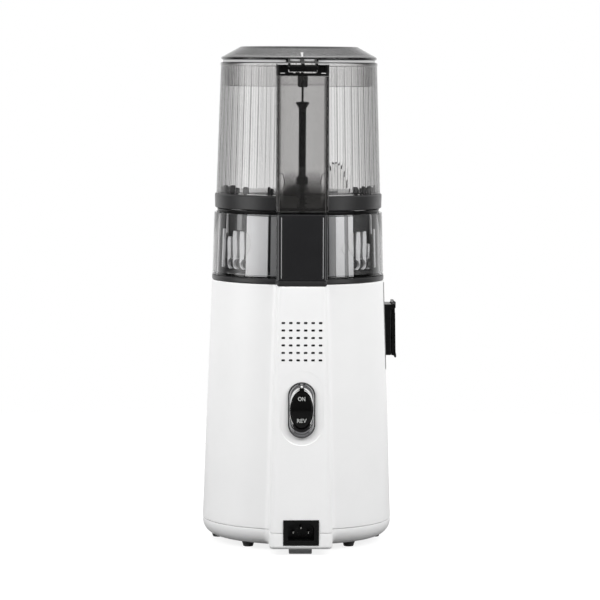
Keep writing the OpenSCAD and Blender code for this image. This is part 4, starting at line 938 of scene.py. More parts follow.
def make_spouts():
    # juice spout: neck, block with a side outlet, two small ears
    drum = lambda r, z0, z1, n=160: revolve([(0, z0), (r, z0), (r, z1), (0, z1)], n)
    neck = tool(*prism(fillet([(-82.4, -74, 3), (-54.4, -74, 3), (-54.4, -38, 3), (-82.4, -38, 3)], True, 6), 170, 263.6))
    cut(neck, [tool(*drum(102, 160, 270))], "INTERSECT")
    cut(neck, [tool(*drum(84.8, 100, 244.35))])
    blk = tool(*prism(fillet([(-90.2, -60, 1.2), (-60, -60, 1.2), (-60, -28, 1.2), (-90.2, -28, 1.2)], True, 4), 170.0, 218.3))
    cut(blk, [tool(*drum(84.8, 100, 300))])
    ears = []
    for y in (-60, -31):
        side = fillet([(-94.1, 220.75, 0.25), (-94.1, 215.0, 0.8), (-91.0, 213.0, 0.8), (-87.0, 212.0), (-87.0, 218.2), (-90.9, 218.3, 0.5), (-91.35, 220.75, 0.25)], True, 3)
        ears.append(([(x, yy, z) for x, z, yy in prism(side, y, y + 3)[0]], prism(side, y, y + 3)[1]))
    spout = make("juice_spout_body", list(v.co for v in neck.data.vertices), [tuple(p.vertices) for p in neck.data.polygons], "black", "chamber", "black_plastic", ["juice_spout"], local=False)
    bpy.data.objects.remove(neck)
    cut(spout, [blk], "UNION")
    cut(spout, [tool(*e) for e in ears], "UNION")
    bowl = revolve([(0, 248), (80.02, 248), (80.02, 249.2), (78.32, 308), (0, 308)], 160)
    inner = tool(*prism([(-80.2, -71.8), (-56.6, -71.8), (-56.6, -40.2), (-80.2, -40.2)], 172.4, 261.2))
    cut(inner, [tool(*drum(99.8, 160, 270))], "INTERSECT")
    cut(inner, [tool(*drum(87.2, 100, 250.7))])
    blk_in = tool(*block(-87.8, -59.8, -57.6, -30.4, 172.5, 216.1))
    cut(blk_in, [tool(*drum(87.2, 100, 300))])
    cut(spout, [tool(*bowl), tool(*drum(80.25, 240, 249.25)), inner, blk_in, tool(*block(-90.25, -84, -52, -36, 174, 190)), tool(*rod(1.2, (-92.6, -70, 219.5), (-92.6, -10, 219.5)))])
    bevel(spout, 0.35, 2, 40)
    # the flip cap: a thin plate with a lip at its foot and a knuckle at its top
    side = fillet([(-90.6, 170.0), (-90.6, 216.6, 0.5), (-91.3, 217.6, 0.3), (-93.6, 217.2, 0.8), (-94.4, 173.0, 1.6), (-95.0, 170.4, 0.5), (-95.0, 167.8, 0.5), (-93.4, 167.8, 0.5), (-93.0, 169.8, 0.6)], True, 4)
    plate = ([(x, y, z) for x, z, y in prism(side, -60, -28)[0]], prism(side, -60, -28)[1])
    cap = make("spout_flip_cap", *plate, "black", "spout_cap", "black_plastic", ["juice_cap"])
    cut(cap, [tool(*block(-96, -85, -61, -56.8, 210.5, 225)), tool(*block(-96, -85, -31.2, -27, 210.5, 225))])
    cut(cap, [tool(*rod(1.65, (-92.6, -56.7, 219.5), (-92.6, -31.3, 219.5))), tool(*block(-93.7, -91.2, -56.7, -31.3, 215, 219))], "UNION")
    cut(cap, [tool(*rod(1.2, (-92.6, -70, 219.5), (-92.6, -10, 219.5)))])
    bevel(cap, 0.3, 2, 40)
    rings = [[(-90.55, -44 + y, 182 + x) for x, y in rounded_rect(14, 14, 3, 6)], [(-89.3, -44 + y, 182 + x) for x, y in rounded_rect(14, 14, 3, 6)],
             [(-88.7, -44 + y, 182 + x) for x, y in rounded_rect(13, 13, 2.6, 6)], [(-88.6, -44 + y, 182 + x) for x, y in rounded_rect(11, 11, 2, 6)],
             [(-89.2, -44 + y, 182 + x) for x, y in rounded_rect(9.5, 9.5, 1.5, 6)]]
    make("spout_cap_seal", *loft(rings, True, True), "silicone", "spout_cap", "grey_rubber", ["cap_seal"])

    # pulp spout at the front, with its silicone plug
    box = tool(*prism(fillet([(-19, -97.3, 4), (19, -97.3, 4), (19, -67.3), (-19, -67.3)], True, 6), 206, 266))
    pulp = make("pulp_spout_body", [tuple(v.co) for v in box.data.vertices], [tuple(p.vertices) for p in box.data.polygons], "black", "chamber", "black_plastic", ["pulp_spout"], local=False)
    bpy.data.objects.remove(box)
    inner = tool(*prism(fillet([(-16.6, -94.9, 2.4), (16.6, -94.9, 2.4), (16.6, -64.9), (-16.6, -64.9)], True, 5), 200, 263.6))
    cut(inner, [tool(*drum(86.6, 190, 250.5))])
    bowl = revolve([(0, 248), (80.02, 248), (80.02, 249.2), (78.32, 308), (0, 308)], 160)
    cut(pulp, [tool(*drum(84.8, 100, 244.35)), tool(*drum(80.25, 200, 249.2)), tool(*bowl), inner, tool(*rod(6, (0, -110, 240), (0, -90, 240), 40))])
    bevel(pulp, 0.6, 3, 40)
    plug = fillet([(0, 0), (5.95, 0, 0.6), (5.95, 3.1, 0.3), (7.9, 3.1, 0.3), (8.0, 4.2, 0.6), (4.6, 4.45, 0.5), (4.0, 3.9, 0.4), (0, 3.9)], True, 3)
    part = placed(revolve(plug, 48), Matrix.Translation((0, -94.3, 240)) @ Matrix.Rotation(pi / 2, 4, "X"))
    make("pulp_spout_plug", *part, "silicone", "chamber", "grey_rubber", ["pulp_plug"])


# ------------------------------------------------------------------ screw


def make_screw():
    core = fillet([(0, 246.9), (11.2, 246.9, 0.3), (13, 247.6, 0.6), (13, 256.5, 0.8), (43.5, 257.2, 0.8), (45, 258.4, 0.8), (44.6, 260.5, 0.8), (37, 267, 3), (29, 290, 6), (24, 303.2, 1.0), (11, 304, 0.4), (0, 304)], True, 4)
    parts = [revolve(core, 120)]
    for a0 in (0, 120, 240):
        rings = []
        n = 36
        for i in range(n + 1):
            t = i / n
            z = lerp(259.0, 299.5, t)
            a = math.radians(a0 - 150 * t * 0.97)
            rin = lerp(34, 22, t)
            ro = lerp(59.2, 55.0, t**1.5) * (1 if 0 < i < n else 0.985)
            th = lerp(3.2, 2.0, t)
            row = []
            for r, k in ((rin, 1.25), ((rin + ro) / 2, 1.0), (ro - 1.2, 0.85), (ro, 0.45), (ro, -0.45), (ro - 1.2, -0.85), ((rin + ro) / 2, -1.0), (rin, -1.25)):
                da = th * k / max(r, 1)
                row.append((r * math.cos(a + da), r * math.sin(a + da), z))
            rings.append(row)
        parts.append(loft(rings, True, True))
    make("screw_body", *join(*parts), "auger", "screw", "auger_plastic", ["auger"], sharp=40)

    # cutting wing: hub, cone, and two curved blades
    hub = fillet([(6.95, 304.3), (12.2, 304.3, 0.6), (13, 305.2, 0.6), (13, 319.6, 1.5), (7.4, 331.6, 1.4), (0.0, 332.3), (0, 317.5), (6.95, 317.5)], True, 4)
    parts = [revolve(hub, 72)]
    main = fillet([(-4, 317), (-4, 322.5, 2), (-24, 324.5, 4), (-27.5, 330, 6), (-29, 345, 8), (-31, 351.5, 4), (-34, 353.5, 3), (-40, 350, 5), (-43.5, 340, 8), (-46, 330, 6), (-50, 322, 4), (-52, 317)], True, 5)
    small = fillet([(-4, 317), (-4, 326, 2), (-30, 324, 6), (-48, 319, 2), (-50, 317)], True, 4)
    beads = []
    for s, outline, open_ in ((0, main, True), (180, small, False)):
        # bend the outline round a wall of radius 60.8 about (-32, -60)
        front, back, mid = [], [], []
        for x, z in outline:
            for lst, R in ((front, 61.7), (back, 60.1), (mid, 60.9)):
                y = -60 + math.sqrt(max(R * R - (x + 32) ** 2, 0))
                p = (x, y, z)
                if s:
                    p = (-p[0], -p[1], z)
                lst.append(p)
        parts.append(loft([front, back], True, True))
        # rim: a bead that grows towards the outer end
        pts = [Vector(p) for p in mid]
        rings = []
        for i, p in enumerate(pts):
            d = (pts[min(i + 1, len(pts) - 1)] - pts[max(i - 1, 0)]).normalized()
            out = Vector((p.x + 32, p.y + 60, 0)) if not s else Vector((p.x - 32, p.y - 60, 0))
            out.normalize()
            up = d.cross(out).normalized()
            r = lerp(0.75, 1.25, i / (len(pts) - 1))
            rings.append([tuple(p + r * (math.cos(q * pi / 5) * out + 0.75 * math.sin(q * pi / 5) * up)) for q in range(10)])
        beads.append(loft(rings, True, True))
    make("cutting_wing_hub", *parts[0], "auger", "screw", "auger_plastic", ["cutting_wing"], sharp=40)
    make("cutting_wing_blades", *join(*parts[1:]), "wing", "screw", "auger_plastic", sharp=40)
    make("cutting_wing_rims", *join(*beads), "bead", "screw", "auger_plastic", sharp=60)


# ------------------------------------------------------------------ hopper

Z0, Z1, HT = 311.0, 324.7, 446.2
hop_r = lambda z: lerp(76.5, 72.6, (z - Z1) / (HT - Z1))
spine_d = lambda z: lerp(98.2, 94.0, (z - Z0) / (HT - Z0))
SPW = 47.3


def make_hopper():
    # collar, open behind the spine
    prof = fillet([(62, 311.1, 0.5), (76.6, 311.1, 0.7), (77.6, 311.9, 0.8), (77.9, 323.6, 0.9), (77.2, 324.65, 0.5), (73.0, 324.65, 0.3), (73.0, 313.7, 0.8), (62, 313.7, 0.5)], True, 4)
    a = math.degrees(math.asin((SPW / 2 + 0.05) / 77))
    make("hopper_collar_ring", *revolve(prof, 220, 90 + a, 450 - a), "dark", "hopper", "dark_grey_plastic", ["hopper_collar"], sharp=50)
    # the collar's bridge behind the spine
    prof = [(62, 311.2), (72.7, 311.2), (72.7, 324.5), (71.6, 324.5), (71.6, 313.6), (62, 313.6)]
    make("hopper_collar_bridge", *revolve(prof, 24, 90 - a, 90 + a), "dark", "hopper", "dark_grey_plastic", sharp=50)

    # fluted wall: 56 flutes, each of three narrow ribs, with a sharp valley between neighbours; plain behind the spine
    N = 56
    ang, flute = [], []
    for k in range(N):
        for j in range(3):
            for u in (0, 0.09, 0.28, 0.5, 0.72, 0.91):
                t = (j + u) / 3
                a = 2 * pi * (k + t) / N
                ang.append(pi / 2 + a)
                d = min(u, 1 - u)
                f = 0.032 * (1 - 2 * d) ** 2 + (0.05 if u == 0 else 0) + (0.12 if t == 0 else 0)
                off = abs(math.degrees(a + pi) % 360 - 180)
                flute.append(f * min(max((off - 17.0) / 2.0, 0), 1))

    def ring(z, r, k=1.0):
        return [((r - k * f) * math.cos(a), (r - k * f) * math.sin(a), z) for a, f in zip(ang, flute)]

    rings = [ring(324.8, hop_r(324.8) - 0.9, 0), ring(324.8, hop_r(324.8) - 0.1, 0.3), ring(325.6, hop_r(325.6)), ring(365, hop_r(365)), ring(405, hop_r(405)), ring(440.0, hop_r(440)),
             ring(442.4, hop_r(442.4) + 0.05, 0.4), ring(442.9, hop_r(443) + 0.3, 0), ring(443.3, 73.1, 0), ring(445.3, 73.1, 0), ring(445.9, 72.9, 0), ring(446.15, 72.5, 0), ring(446.15, 71.3, 0), ring(445.8, 70.9, 0)]
    rings += [ring(440, hop_r(440) - 2.2, 0), ring(405, hop_r(405) - 2.2, 0), ring(365, hop_r(365) - 2.2, 0), ring(328, hop_r(328) - 2.2, 0), ring(325.2, hop_r(325) - 2.6, 0), ring(324.8, hop_r(325) - 3.0, 0)]
    make("hopper_wall", *loft(rings, closed_path=True), "hopper", "hopper", "smoke_clear_plastic", ["hopper_shell"], sharp=60)
    # pale liner inside the collar, and the dark bayonet lugs at the wall's foot
    prof = fillet([(72.1, 314.3, 0.2), (72.9, 314.3), (72.9, 325.1, 0.2), (72.5, 325.5, 0.2), (72.1, 325.1, 0.2)], True, 2)
    make("hopper_collar_liner", *revolve(prof, 180), "white", "hopper", "smoke_clear_plastic", sharp=50)
    lugs = []
    for t0, t1, top in ((20.7, 22.3, 331.6), (22.9, 24.6, 333.0), (41.5, 45.4, 332.2), (50.2, 53.6, 331.2), (54.3, 59.5, 333.2), (60.3, 64.8, 331.8), (65.8, 69.4, 333.0), (70.2, 75.0, 331.8),
                        (-45.4, -41.2, 332.6), (-49.8, -47.4, 331.4), (-53.4, -50.6, 333.0), (-58.4, -54.6, 331.6), (-62.0, -59.2, 333.2), (-66.4, -63.0, 331.4), (-70.8, -69.4, 333.0)):
        lugs.append(slab([(324.9, 71.6, 73.4, t0 + 0.2, t1 - 0.2), (325.3, 71.4, 73.6, t0, t1), (top - 1.4, 71.4, 73.6, t0, t1), (top - 0.5, 71.6, 73.4, t0 + 0.35, t1 - 0.35), (top, 72.0, 73.0, t0 + 0.8, t1 - 0.8)], 5, 0.2))
    make("hopper_collar_lugs", *join(*lugs), "screen", "hopper", "dark_grey_plastic", sharp=50)

    # the see-through spine: a channel with a thick back wall and two side walls
    def channel(z, s=0.0, wall=2.0, r=2.2):
        h, d = SPW / 2 - s, spine_d(z) - s
        y0 = math.sqrt(max(hop_r(max(z, Z1)), 74) ** 2 - h * h) + 0.12
        outer = fillet([(h, y0), (h, d, r), (-h, d, r), (-h, y0)], False, 6)
        hi, di = h - wall, d - wall
        outer[0], outer[-1] = (h, y0), (-h, y0)
        inner = [(-hi, y0)]
        for i in range(29):
            x = lerp(-hi, hi, i / 28)
            near = max(abs(x) - (hi - 1.4), 0)
            inner.append((x, di - (1.4 - math.sqrt(max(1.96 - near * near, 0)))))
        inner.append((hi, y0))
        return [(x, y, z) for x, y in outer + inner]

    rings = [channel(311.4, 0.5, 1.4), channel(311.7, 0.1, 1.9)]
    rings += [channel(z) for z in (312.5, 318, 323, 327, 330, 332, 334, 336, 338, 340, 342, 344, 346, 348, 350)]
    rings += [channel(z) for z in (360, 380, 400, 420, 433.2)]
    rings += [channel(433.6, 0.15, 1.8), channel(433.8, 0.5, 1.4)]
    make("hopper_spine", *loft(rings, True, True), "glazing", "hopper", "smoke_clear_plastic", sharp=50)
    # smoked filler in the spine's foot: it thins out upwards, with a pocket at each side
    rings = []
    for z in [311.8] + [316 + 1.2 * i for i in range(31)]:
        row_o, row_i = [], []
        for i in range(61):
            x = lerp(-21.3, 21.3, i / 60)
            e = min(max((abs(x) - 15.6) / 2.2, 0), 1)
            k = min(max((351.5 - 13.0 * e * e * (3 - 2 * e) - z) / 25.0, 0), 1)
            d = spine_d(z) - 2.25
            row_o.append((x, d, z))
            row_i.append((x, d - 0.02 - 6.0 * k ** 1.25, z))
        rings.append(row_o + row_i[::-1])
    make("spine_foot_filler", *loft(rings, True, True), "filler", "hopper", "smoke_clear_plastic", sharp=50)
    lips = []
    for q in (-1, 1):
        path = fillet([(q * 21.2, 346.4), (q * 17.6, 345.8, 2.0), (q * 16.3, 338.5, 4.0), (q * 17.4, 331.0)], False, 6)
        pts = [Vector((x, spine_d(z) - 2.7, z)) for x, z in path]
        rings = []
        for i, p in enumerate(pts):
            d = (pts[min(i + 1, len(pts) - 1)] - pts[max(i - 1, 0)]).normalized()
            up = d.cross(Vector((0, 1, 0))).normalized()
            r = 0.34 if 0 < i < len(pts) - 1 else 0.2
            rings.append([tuple(p + r * (math.cos(w * pi / 4) * Vector((0, 1, 0)) + math.sin(w * pi / 4) * up)) for w in range(8)])
        lips.append(loft(rings, True, True))
    make("spine_foot_lips", *join(*lips), "bead", "hopper", "smoke_clear_plastic", sharp=60)


def make_hinge():
    # bracket: floor, two hollow ears, a pocket between them
    zb = 434.0
    drum = revolve([(0, 300), (76.6, 300), (hop_r(HT) + 0.06, HT - 4), (73.95, HT - 3), (73.95, HT + 1), (0, HT + 1)], 160)
    body = make("hinge_bracket_body", *prism(fillet([(-23.65, 70), (23.65, 70), (23.65, 94, 2.2), (-23.65, 94, 2.2)], True, 5), zb, 445.0), "black", "hopper", "black_plastic", ["hinge_bracket"])
    pocket = prism(fillet([(-13.3, 436.5, 2.0), (13.3, 436.5, 2.0), (13.3, 460), (-13.3, 460)], True, 5), 60, 110)
    tools = [tool(*drum), tool([(x, y, z) for x, z, y in pocket[0]], pocket[1])]
    trim = []
    for s in (-1, 1):
        o = prism(fillet([(s * 17.3 - 3.0, 437.4, 0.8), (s * 17.3 + 3.0, 437.4, 0.8), (s * 17.3 + 3.0, 443.5, 0.8), (s * 17.3 - 3.0, 443.5, 0.8)], True, 3), 92.1, 110)
        tools.append(tool([(x, y, z) for x, z, y in o[0]], o[1]))
        # pale lips along the ear's top edge, and a short one at its foot: painted highlights of the ear's edges
        a, b = sorted((s * 13.7, s * 23.3))
        trim.append(([(x, y, z) for x, z, y in prism(fillet([(a, 444.0, 0.25), (b, 444.0, 0.25), (b, 444.75, 0.25), (a, 444.75, 0.25)], True, 3), 93.4, 94.25)[0]], prism(fillet([(a, 444.0, 0.25), (b, 444.0, 0.25), (b, 444.75, 0.25), (a, 444.75, 0.25)], True, 3), 93.4, 94.25)[1]))
        a, b = sorted((s * 16.4, s * 20.6))
        trim.append(([(x, y, z) for x, z, y in prism(fillet([(a, 436.1, 0.3), (b, 436.1, 0.3), (b, 436.8, 0.3), (a, 436.8, 0.3)], True, 3), 93.4, 94.2)[0]], prism(fillet([(a, 436.1, 0.3), (b, 436.1, 0.3), (b, 436.8, 0.3), (a, 436.8, 0.3)], True, 3), 93.4, 94.2)[1]))
    tools.append(tool(*rod(1.56, (-30, 90.5, 441.8), (30, 90.5, 441.8))))
    cut(body, tools)
    bevel(body, 0.35, 2, 35)
    make("hinge_bracket_highlight_lips", *join(*trim), "pad", "hopper", "grey_plastic", sharp=40)
    tabs = [block(3.0, 6.8, 88.0, 93.6, 436.3, 437.45), block(-0.3, 1.9, 88.0, 93.6, 436.3, 437.45), block(8.6, 13.4, 88.0, 91.5, 436.3, 437.2)]
    make("hinge_pocket_tabs", *join(*tabs), "black", "hopper", "black_plastic", sharp=40)
    # guide of the rod: rounded block with a slit
    guide = fillet([(-4.4, 423.6, 1.4), (4.4, 423.6, 1.4), (4.4, 434.2), (-4.4, 434.2)], True, 6)
    g = make("rod_guide", *([(x, y, z) for x, z, y in prism(guide, 79.5, 88.6)[0]], prism(guide, 79.5, 88.6)[1]), "black", "hopper", "black_plastic")
    cut(g, [tool(*rod(1.1, (0, 84, 420), (0, 84, 440))), tool(*block(-0.7, 0.7, 85, 92, 422, 433.2))])
    bevel(g, 0.5, 3, 35)


def make_rod():
    c = (0, 84)
    prof = fillet([(0, 312.5), (2.0, 312.5, 0.3), (2.3, 313.2, 0.3), (2.3, 336.0, 0.2), (4.9, 336.0, 0.4), (5.3, 336.8, 0.5), (5.3, 342.2, 0.8), (3.6, 343.4, 0.6), (3.25, 345, 1.0),
                   (3.3, 404.5, 1.2), (4.9, 407.6, 1.2), (5.95, 408.6, 0.4), (6.0, 410.2, 0.5), (4.6, 410.6, 0.3), (1.5, 410.7, 0.3), (1.0, 411.4, 0.3), (1.0, 436.6, 0.5), (0, 437.3)], True, 4)
    make("push_rod", *revolve(prof, 56, c=c), "black", "upper_push_rod", "black_plastic", ["interlock_rod"], sharp=50)
    # return spring
    turns, per = 6.5, 28
    pts, n = [], int(6.5 * 28)
    for i in range(n + 1):
        t = i / per
        z = lerp(315.4, 335.3, min(max((t - 0.5) / (turns - 1.0), 0), 1))
        pts.append(Vector((4.3 * math.cos(2 * pi * t), 84 + 4.3 * math.sin(2 * pi * t), z)))
    rings = []
    for i, p in enumerate(pts):
        d = (pts[min(i + 1, n)] - pts[max(i - 1, 0)]).normalized()
        rad = Vector((p.x, p.y - 84, 0)).normalized()
        up = d.cross(rad)
        rings.append([tuple(p + 0.5 * (math.cos(q * pi / 4) * rad + math.sin(q * pi / 4) * up)) for q in range(8)])
    make("return_spring", *loft(rings, True, True), "steel", "upper_push_rod", "steel", ["rod_spring"], sharp=60)


# ------------------------------------------------------------------ lid


def make_lid():
    T = 460.8
    # smoky crown: flat top with a crisp edge, straight slopes, rolled rim, groove under the rim
    prof = fillet([(0, 460.3), (47, 460.3, 3.0), (50.5, T, 1.5), (54.2, T, 1.5), (71.9, 451.0, 1.0), (72.35, 450.3, 0.3), (72.2, 449.3, 0.3), (71.6, 448.6, 0.3), (70.9, 448.5, 0.2),
                   (70.5, 449.0, 0.3), (66.4, 451.8, 2), (55.0, 457.6, 2), (51.0, 458.0, 1.5), (0, 457.6)], True, 5)
    make("lid_crown", *revolve(prof, 260), "lid", "hopper_lid", "smoke_clear_plastic", ["lid"], sharp=50)
    nub = fillet([(-0.8, 451.2, 0.2), (0.8, 451.2, 0.2), (0.8, 454.0), (1.4, 454.3, 0.2), (1.4, 455.2, 0.3), (-1.4, 455.2, 0.3), (-1.4, 454.3, 0.2), (-0.8, 454.0)], True, 3)
    part = prism(nub, 0, 1)
    slope = lambda z: 71.9 - (z - 451.0) * 17.7 / 9.8
    make("lid_catch_nub", *([(x, slope(z) + (0.75 if y else -0.4), z) for x, z, y in part[0]], part[1]), "pad", "hopper_lid", "grey_plastic", sharp=30)
    # hinge at the back: a root on the rim with two pale windows, two goosenecks and a rib, a broad knuckle bar
    hy, hz = 90.5, 441.8
    root = [slab([(z, 71.0, 74.3 - g, t0, t1) for z, g in ((446.9, 0.3), (447.2, 0), (449.6, 0), (449.9, 0.3))], 3, 0.15) for t0, t1 in ((-11.6, -10.2), (-1.45, 1.45), (10.2, 11.6))]
    root.append(slab([(z, 71.0, 74.2 - g, -11.6, 11.6) for z, g in ((449.3, 0.1), (449.5, 0), (449.8, 0), (450.0, 0.3))], 16, 0.0))
    make("lid_hinge_root", *join(*root), "black", "hopper_lid", "dark_grey_plastic", sharp=40)
    make("lid_hinge_windows", *join(*[slab([(446.95, 72.3, 73.5, t0, t1), (447.1, 72.3, 73.75, t0, t1), (449.2, 72.3, 73.75, t0, t1), (449.35, 72.3, 73.5, t0, t1)], 8, 0.0) for t0, t1 in ((-10.25, -1.4), (1.4, 10.25))]),
         "pad", "hopper_lid", "grey_plastic", sharp=40)
    bar = fillet([(86.6, 444.1, 1.0), (92.4, 444.1, 1.4), (93.5, 442.6, 0.8), (93.4, 440.5, 0.5), (92.7, 440.2, 0.3), (92.9, 438.7, 1.0), (91.6, 437.7, 1.0), (87.2, 437.7, 1.4), (86.4, 440, 0.8)], True, 4)
    ob = make("lid_hinge_arm", *([(x, y, z) for y, z, x in prism(bar, -12.3, 12.3)[0]], prism(bar, -12.3, 12.3)[1]), "black", "hopper_lid", "dark_grey_plastic")
    goose = fillet([(72.8, 449.0, 0.4), (75.4, 449.4, 1.0), (81.0, 447.0, 3.0), (89.5, 444.9, 1.5), (91.5, 443.4, 0.8), (91.0, 440.9, 0.8), (88.0, 440.6, 0.8), (84.0, 443.4, 2.5), (76.0, 446.75, 1.5), (73.4, 446.9, 0.3)], True, 4)
    rib = fillet([(73.2, 449.4, 0.4), (75.4, 449.4, 1.0), (81.0, 446.9, 3.0), (88.5, 444.9, 1.0), (88.5, 441, 0.8), (84.0, 443.4, 2.5), (76.0, 446.75, 1.5), (73.4, 446.9, 0.3)], True, 4)
    for prof, x0, x1 in ((goose, -12.9, -11.2), (goose, 11.2, 12.9), (rib, -1.5, 1.5)):
        cut(ob, [tool([(x, y, z) for y, z, x in prism(prof, x0, x1)[0]], prism(prof, x0, x1)[1])], "UNION")
    for x0, x1 in ((-13.05, -12.2), (12.2, 13.05)):
        for z0, z1 in ((443.2, 445.6), (439.5, 441.9)):
            cut(ob, [tool(*block(x0, x1, 87.5, 93.0, z0, z1))], "UNION")
    cut(ob, [tool(*rod(1.95, (0, 91.5, 442.2), (0, 93.95, 442.2), 28))], "UNION")
    cut(ob, [tool(*rod(1.56, (-30, hy, hz), (30, hy, hz)))])
    bevel(ob, 0.3, 2, 35)
    # clear skirt and seal
    prof = fillet([(66.4, 451.6, 0.3), (70.2, 448.9, 0.5), (70.2, 445.5, 0.4), (68.85, 424.6, 0.5), (68.2, 424.0, 0.3), (67.3, 424.6, 0.4), (68.3, 445.5, 0.4), (68.3, 448.4, 0.5), (65.6, 450.4, 0.3)], True, 4)
    make("lid_inner_skirt", *revolve(prof, 240), "skirt", "hopper_lid", "clear_plastic", ["lid_skirt"], sharp=60)
    prof = fillet([(70.25, 446.2), (70.7, 446.25, 0.1), (70.95, 446.6, 0.1), (70.7, 447.2, 0.1), (70.6, 448.45, 0.1), (70.25, 448.9)], True, 2)
    make("lid_seal_ring", *revolve(prof, 200), "pad", "hopper_lid", "grey_rubber", ["lid_seal"], sharp=60)


# ------------------------------------------------------------------ CAD nodes that stay

KEEP = {
    "top_deck": ("dark", 0.5), "cover_screws": ("steel", 0.25), "switch_housing": ("black", 0.3), "motor_bracket": ("cast", 0.4),
    "stator_core": ("lamination", 0.25), "stator_windings": ("copper", 0.6), "motor_bolts": ("steel", 0.3), "rubber_mounts": ("rubber", 0.5),
    "motor_bearings": ("steel", 0.3), "rotor_core": ("lamination", 0.3), "motor_shaft": ("steel", 0.12), "cooling_fan": ("nylon", 0.25),
    "gearbox_housing": ("cast", 0.5), "gearbox_cover": ("cast", 0.5), "gearbox_screws": ("steel", 0.25), "intermediate_axle": ("steel", 0.3),
    "intermediate_gear": ("nylon", 0.1), "output_gear": ("steel", 0.1), "output_shaft": ("steel", 0.3), "shaft_bearings": ("steel", 0.3),
    "shaft_seal": ("silicone", 0.4), "control_board": ("board", 0.1), "board_components": ("parts", 0.4), "motor_capacitor": ("cast", 0.5),
    "interlock_switch": ("black", 0.25), "internal_wiring": ("wire", 0.0), "drive_seal": ("silicone", 0.4), "cap_hinge_pin": ("steel", 0.2),
    "hinge_pin": ("steel", 0.3), "lower_rod": ("black", 0.3), "wing_hexagon": ("steel", 0.3),
}


def finish_kept():
    for n, (mat, b) in KEEP.items():
        ob = NODES[n]
        ob.data.materials.clear()
        ob.data.materials.append(M[mat])
        if b:
            bevel(ob, b, 2, 40, weld=True)


# ------------------------------------------------------------------ stage


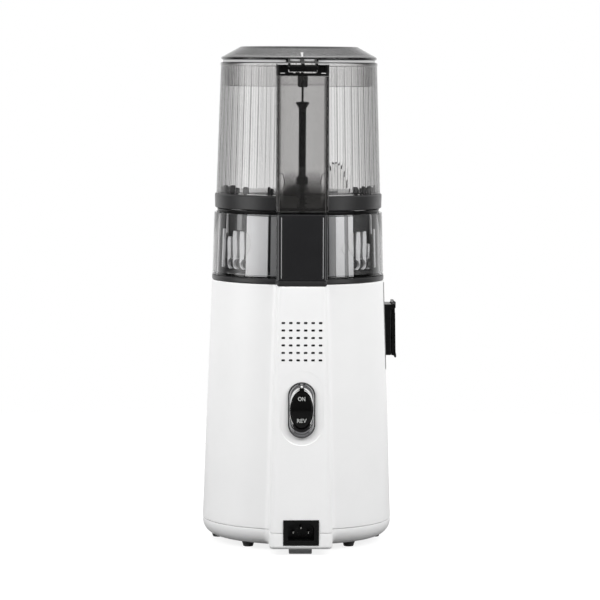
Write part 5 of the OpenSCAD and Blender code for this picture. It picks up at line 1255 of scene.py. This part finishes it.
def make_stage():
    """Seamless pale floor that fades into the white surround, soft side lights, white field behind the object."""
    m, nt, out = nodes_of("stage_floor")
    tc = add(nt, "ShaderNodeTexCoord")
    ln = add(nt, "ShaderNodeVectorMath", operation="LENGTH")
    nt.links.new(tc.outputs["Object"], ln.inputs[0])
    fade = ranged(nt, ln.outputs["Value"], 0, 1, 0.45, 1.1)
    lp = add(nt, "ShaderNodeLightPath")
    d = add(nt, "ShaderNodeBsdfDiffuse")
    nt.links.new(mixed(nt, ranged(nt, noise(nt, tc.outputs["Object"], 3, 2), 0, 1), (0.22, 0.22, 0.22), (0.24, 0.24, 0.24)), d.inputs["Color"])
    em = add(nt, "ShaderNodeEmission")
    nt.links.new(lp.outputs["Is Camera Ray"], em.inputs["Strength"])
    em.inputs["Color"].default_value = (FLOOR_GLOW, FLOOR_GLOW, FLOOR_GLOW, 1)
    both = add(nt, "ShaderNodeAddShader")
    nt.links.new(d.outputs["BSDF"], both.inputs[0])
    nt.links.new(em.outputs["Emission"], both.inputs[1])
    tr = add(nt, "ShaderNodeBsdfTransparent")
    mx = add(nt, "ShaderNodeMixShader")
    nt.links.new(fade, mx.inputs["Fac"])
    nt.links.new(both.outputs["Shader"], mx.inputs[1])
    nt.links.new(tr.outputs["BSDF"], mx.inputs[2])
    nt.links.new(mx.outputs["Shader"], out.inputs["Surface"])
    me = bpy.data.meshes.new("floor")
    v, f = revolve([(0, 0), (1150, 0), (1150, -4), (0, -4)], 96)
    me.from_pydata([W(p) for p in v], [], f)
    fl = bpy.data.objects.new("floor", me)
    me.materials.append(m)
    scene.collection.objects.link(fl)

    w = bpy.data.worlds.new("studio")
    scene.world = w
    w.use_nodes = True
    nt = w.node_tree
    nt.nodes.clear()
    out = add(nt, "ShaderNodeOutputWorld")
    bg = add(nt, "ShaderNodeBackground")
    tc = add(nt, "ShaderNodeTexCoord")
    sx = add(nt, "ShaderNodeSeparateXYZ")
    nt.links.new(tc.outputs["Generated"], sx.inputs[0])
    ax = add(nt, "ShaderNodeMath", operation="ABSOLUTE")
    nt.links.new(sx.outputs["X"], ax.inputs[0])
    grey = lambda c: (c, c, c)

    def math_(op, a, b=None):
        n = add(nt, "ShaderNodeMath", operation=op)
        for i, v in enumerate((a, b)):
            if v is None:
                continue
            if isinstance(v, (int, float)):
                n.inputs[i].default_value = v
            else:
                nt.links.new(v, n.inputs[i])
        return n.outputs[0]

    # light seen through the clear parts: bright straight behind (and straight across), falling off quickly to the sides
    peaks = []
    for vec in ((-math.cos(YAW), math.sin(YAW), 0), (math.sin(YAW), math.cos(YAW), 0)):
        dot = add(nt, "ShaderNodeVectorMath", operation="DOT_PRODUCT")
        nt.links.new(tc.outputs["Generated"], dot.inputs[0])
        dot.inputs[1].default_value = vec
        peaks.append(math_("EXPONENT", math_("MULTIPLY", math_("ABSOLUTE", dot.outputs["Value"]), -FIELD[0])))
    field = math_("MAXIMUM", peaks[0], peaks[1])
    through = mixed(nt, field, grey(FIELD[1]), grey(1.0))
    # light for shading, and the room mirrored in gloss and chrome: bright sides and top, dark ahead and low
    hi = ranged(nt, sx.outputs["Z"], 0, 1, 0.05, 0.85)
    shade = mixed(nt, hi, mixed(nt, ranged(nt, ax.outputs[0], 0, 1, 0.30, 0.85), grey(AMB[0]), grey(AMB[1])), grey(AMB[2]))
    flat = add(nt, "ShaderNodeVectorMath", operation="MULTIPLY")
    nt.links.new(tc.outputs["Generated"], flat.inputs[0])
    flat.inputs[1].default_value = (1, 1, 0.001)
    level = add(nt, "ShaderNodeVectorMath", operation="NORMALIZE")
    nt.links.new(flat.outputs["Vector"], level.inputs[0])

    def sector(az, inner, outer):
        """1 towards an azimuth from the camera's side (+ is the photo's left), 0 beyond the outer half-width."""
        a = math.radians(az) + YAW
        dot = add(nt, "ShaderNodeVectorMath", operation="DOT_PRODUCT")
        nt.links.new(level.outputs["Vector"], dot.inputs[0])
        dot.inputs[1].default_value = (math.sin(a), math.cos(a), 0)
        return ranged(nt, dot.outputs["Value"], 0, 1, math.cos(math.radians(outer)), math.cos(math.radians(inner)))

    room = grey(ROOM[0])
    for az, inner, outer, bright in STRIPS:
        room = mixed(nt, sector(az, inner, outer), room, grey(bright))
    room = mixed(nt, hi, room, grey(ROOM[1]))
    lp = add(nt, "ShaderNodeLightPath")
    fresh = math_("LESS_THAN", lp.outputs["Diffuse Depth"], 0.5)
    col = mixed(nt, lp.outputs["Is Glossy Ray"], shade, room)
    # a clear wall lets shadow rays through, so light that bounces back out through it is not counted again
    col = mixed(nt, lp.outputs["Is Transmission Ray"], col, mixed(nt, fresh, grey(0.16), through))
    col = mixed(nt, lp.outputs["Is Camera Ray"], col, grey(1.0))
    nt.links.new(col, bg.inputs["Color"])
    bg.inputs["Strength"].default_value = 1.0
    nt.links.new(bg.outputs[0], out.inputs["Surface"])

    def area(name, az, dist, z, target_z, size, power):
        """A soft light at an azimuth from the camera's side; + is the photo's left."""
        a = math.radians(az)
        pos = Vector((dist * math.sin(a), dist * math.cos(a), z))
        ld = bpy.data.lights.new(name, "AREA")
        ld.shape, ld.size, ld.size_y, ld.energy = "RECTANGLE", size[0], size[1], power
        o = bpy.data.objects.new(name, ld)
        o.location = pos
        o.rotation_mode = "QUATERNION"
        o.rotation_quaternion = (Vector((0, 0, target_z)) - pos).to_track_quat("-Z", "Y")
        o.visible_glossy = False
        o.visible_transmission = False
        scene.collection.objects.link(o)

    for row in LAMPS:
        area(*row)


FLOOR_GLOW = 0.84
FIELD = (4.5, 0.12)
AMB = (0.07, 0.38, 0.50)
ROOM = (0.05, 0.60)
STRIPS = ((180, 45, 68, 1.0), (74, 8, 22, 2.5), (-60, 7, 20, 1.9))
LAMPS = (("key_left", 56, 1.4, 1.12, 0.30, (1.0, 1.0), 21.6), ("key_right", -56, 1.4, 1.12, 0.30, (1.0, 1.0), 22.2), ("front_top", 4, 0.95, 1.3, 0.42, (1.1, 0.5), 3), ("overhead", 180, 0.2, 1.9, 0.3, (1.5, 1.5), 8),
         ("rear_left", 140, 2.1, 0.9, 0.28, (1.0, 1.4), 6.6), ("rear_right", -140, 2.1, 0.9, 0.28, (1.0, 1.4), 6.6))
make_stage()
make_base()
make_switch()
make_inlet()
make_bowl()
make_strainer()
make_spouts()
make_screw()
make_hopper()
make_hinge()
make_rod()
make_lid()
finish_kept()
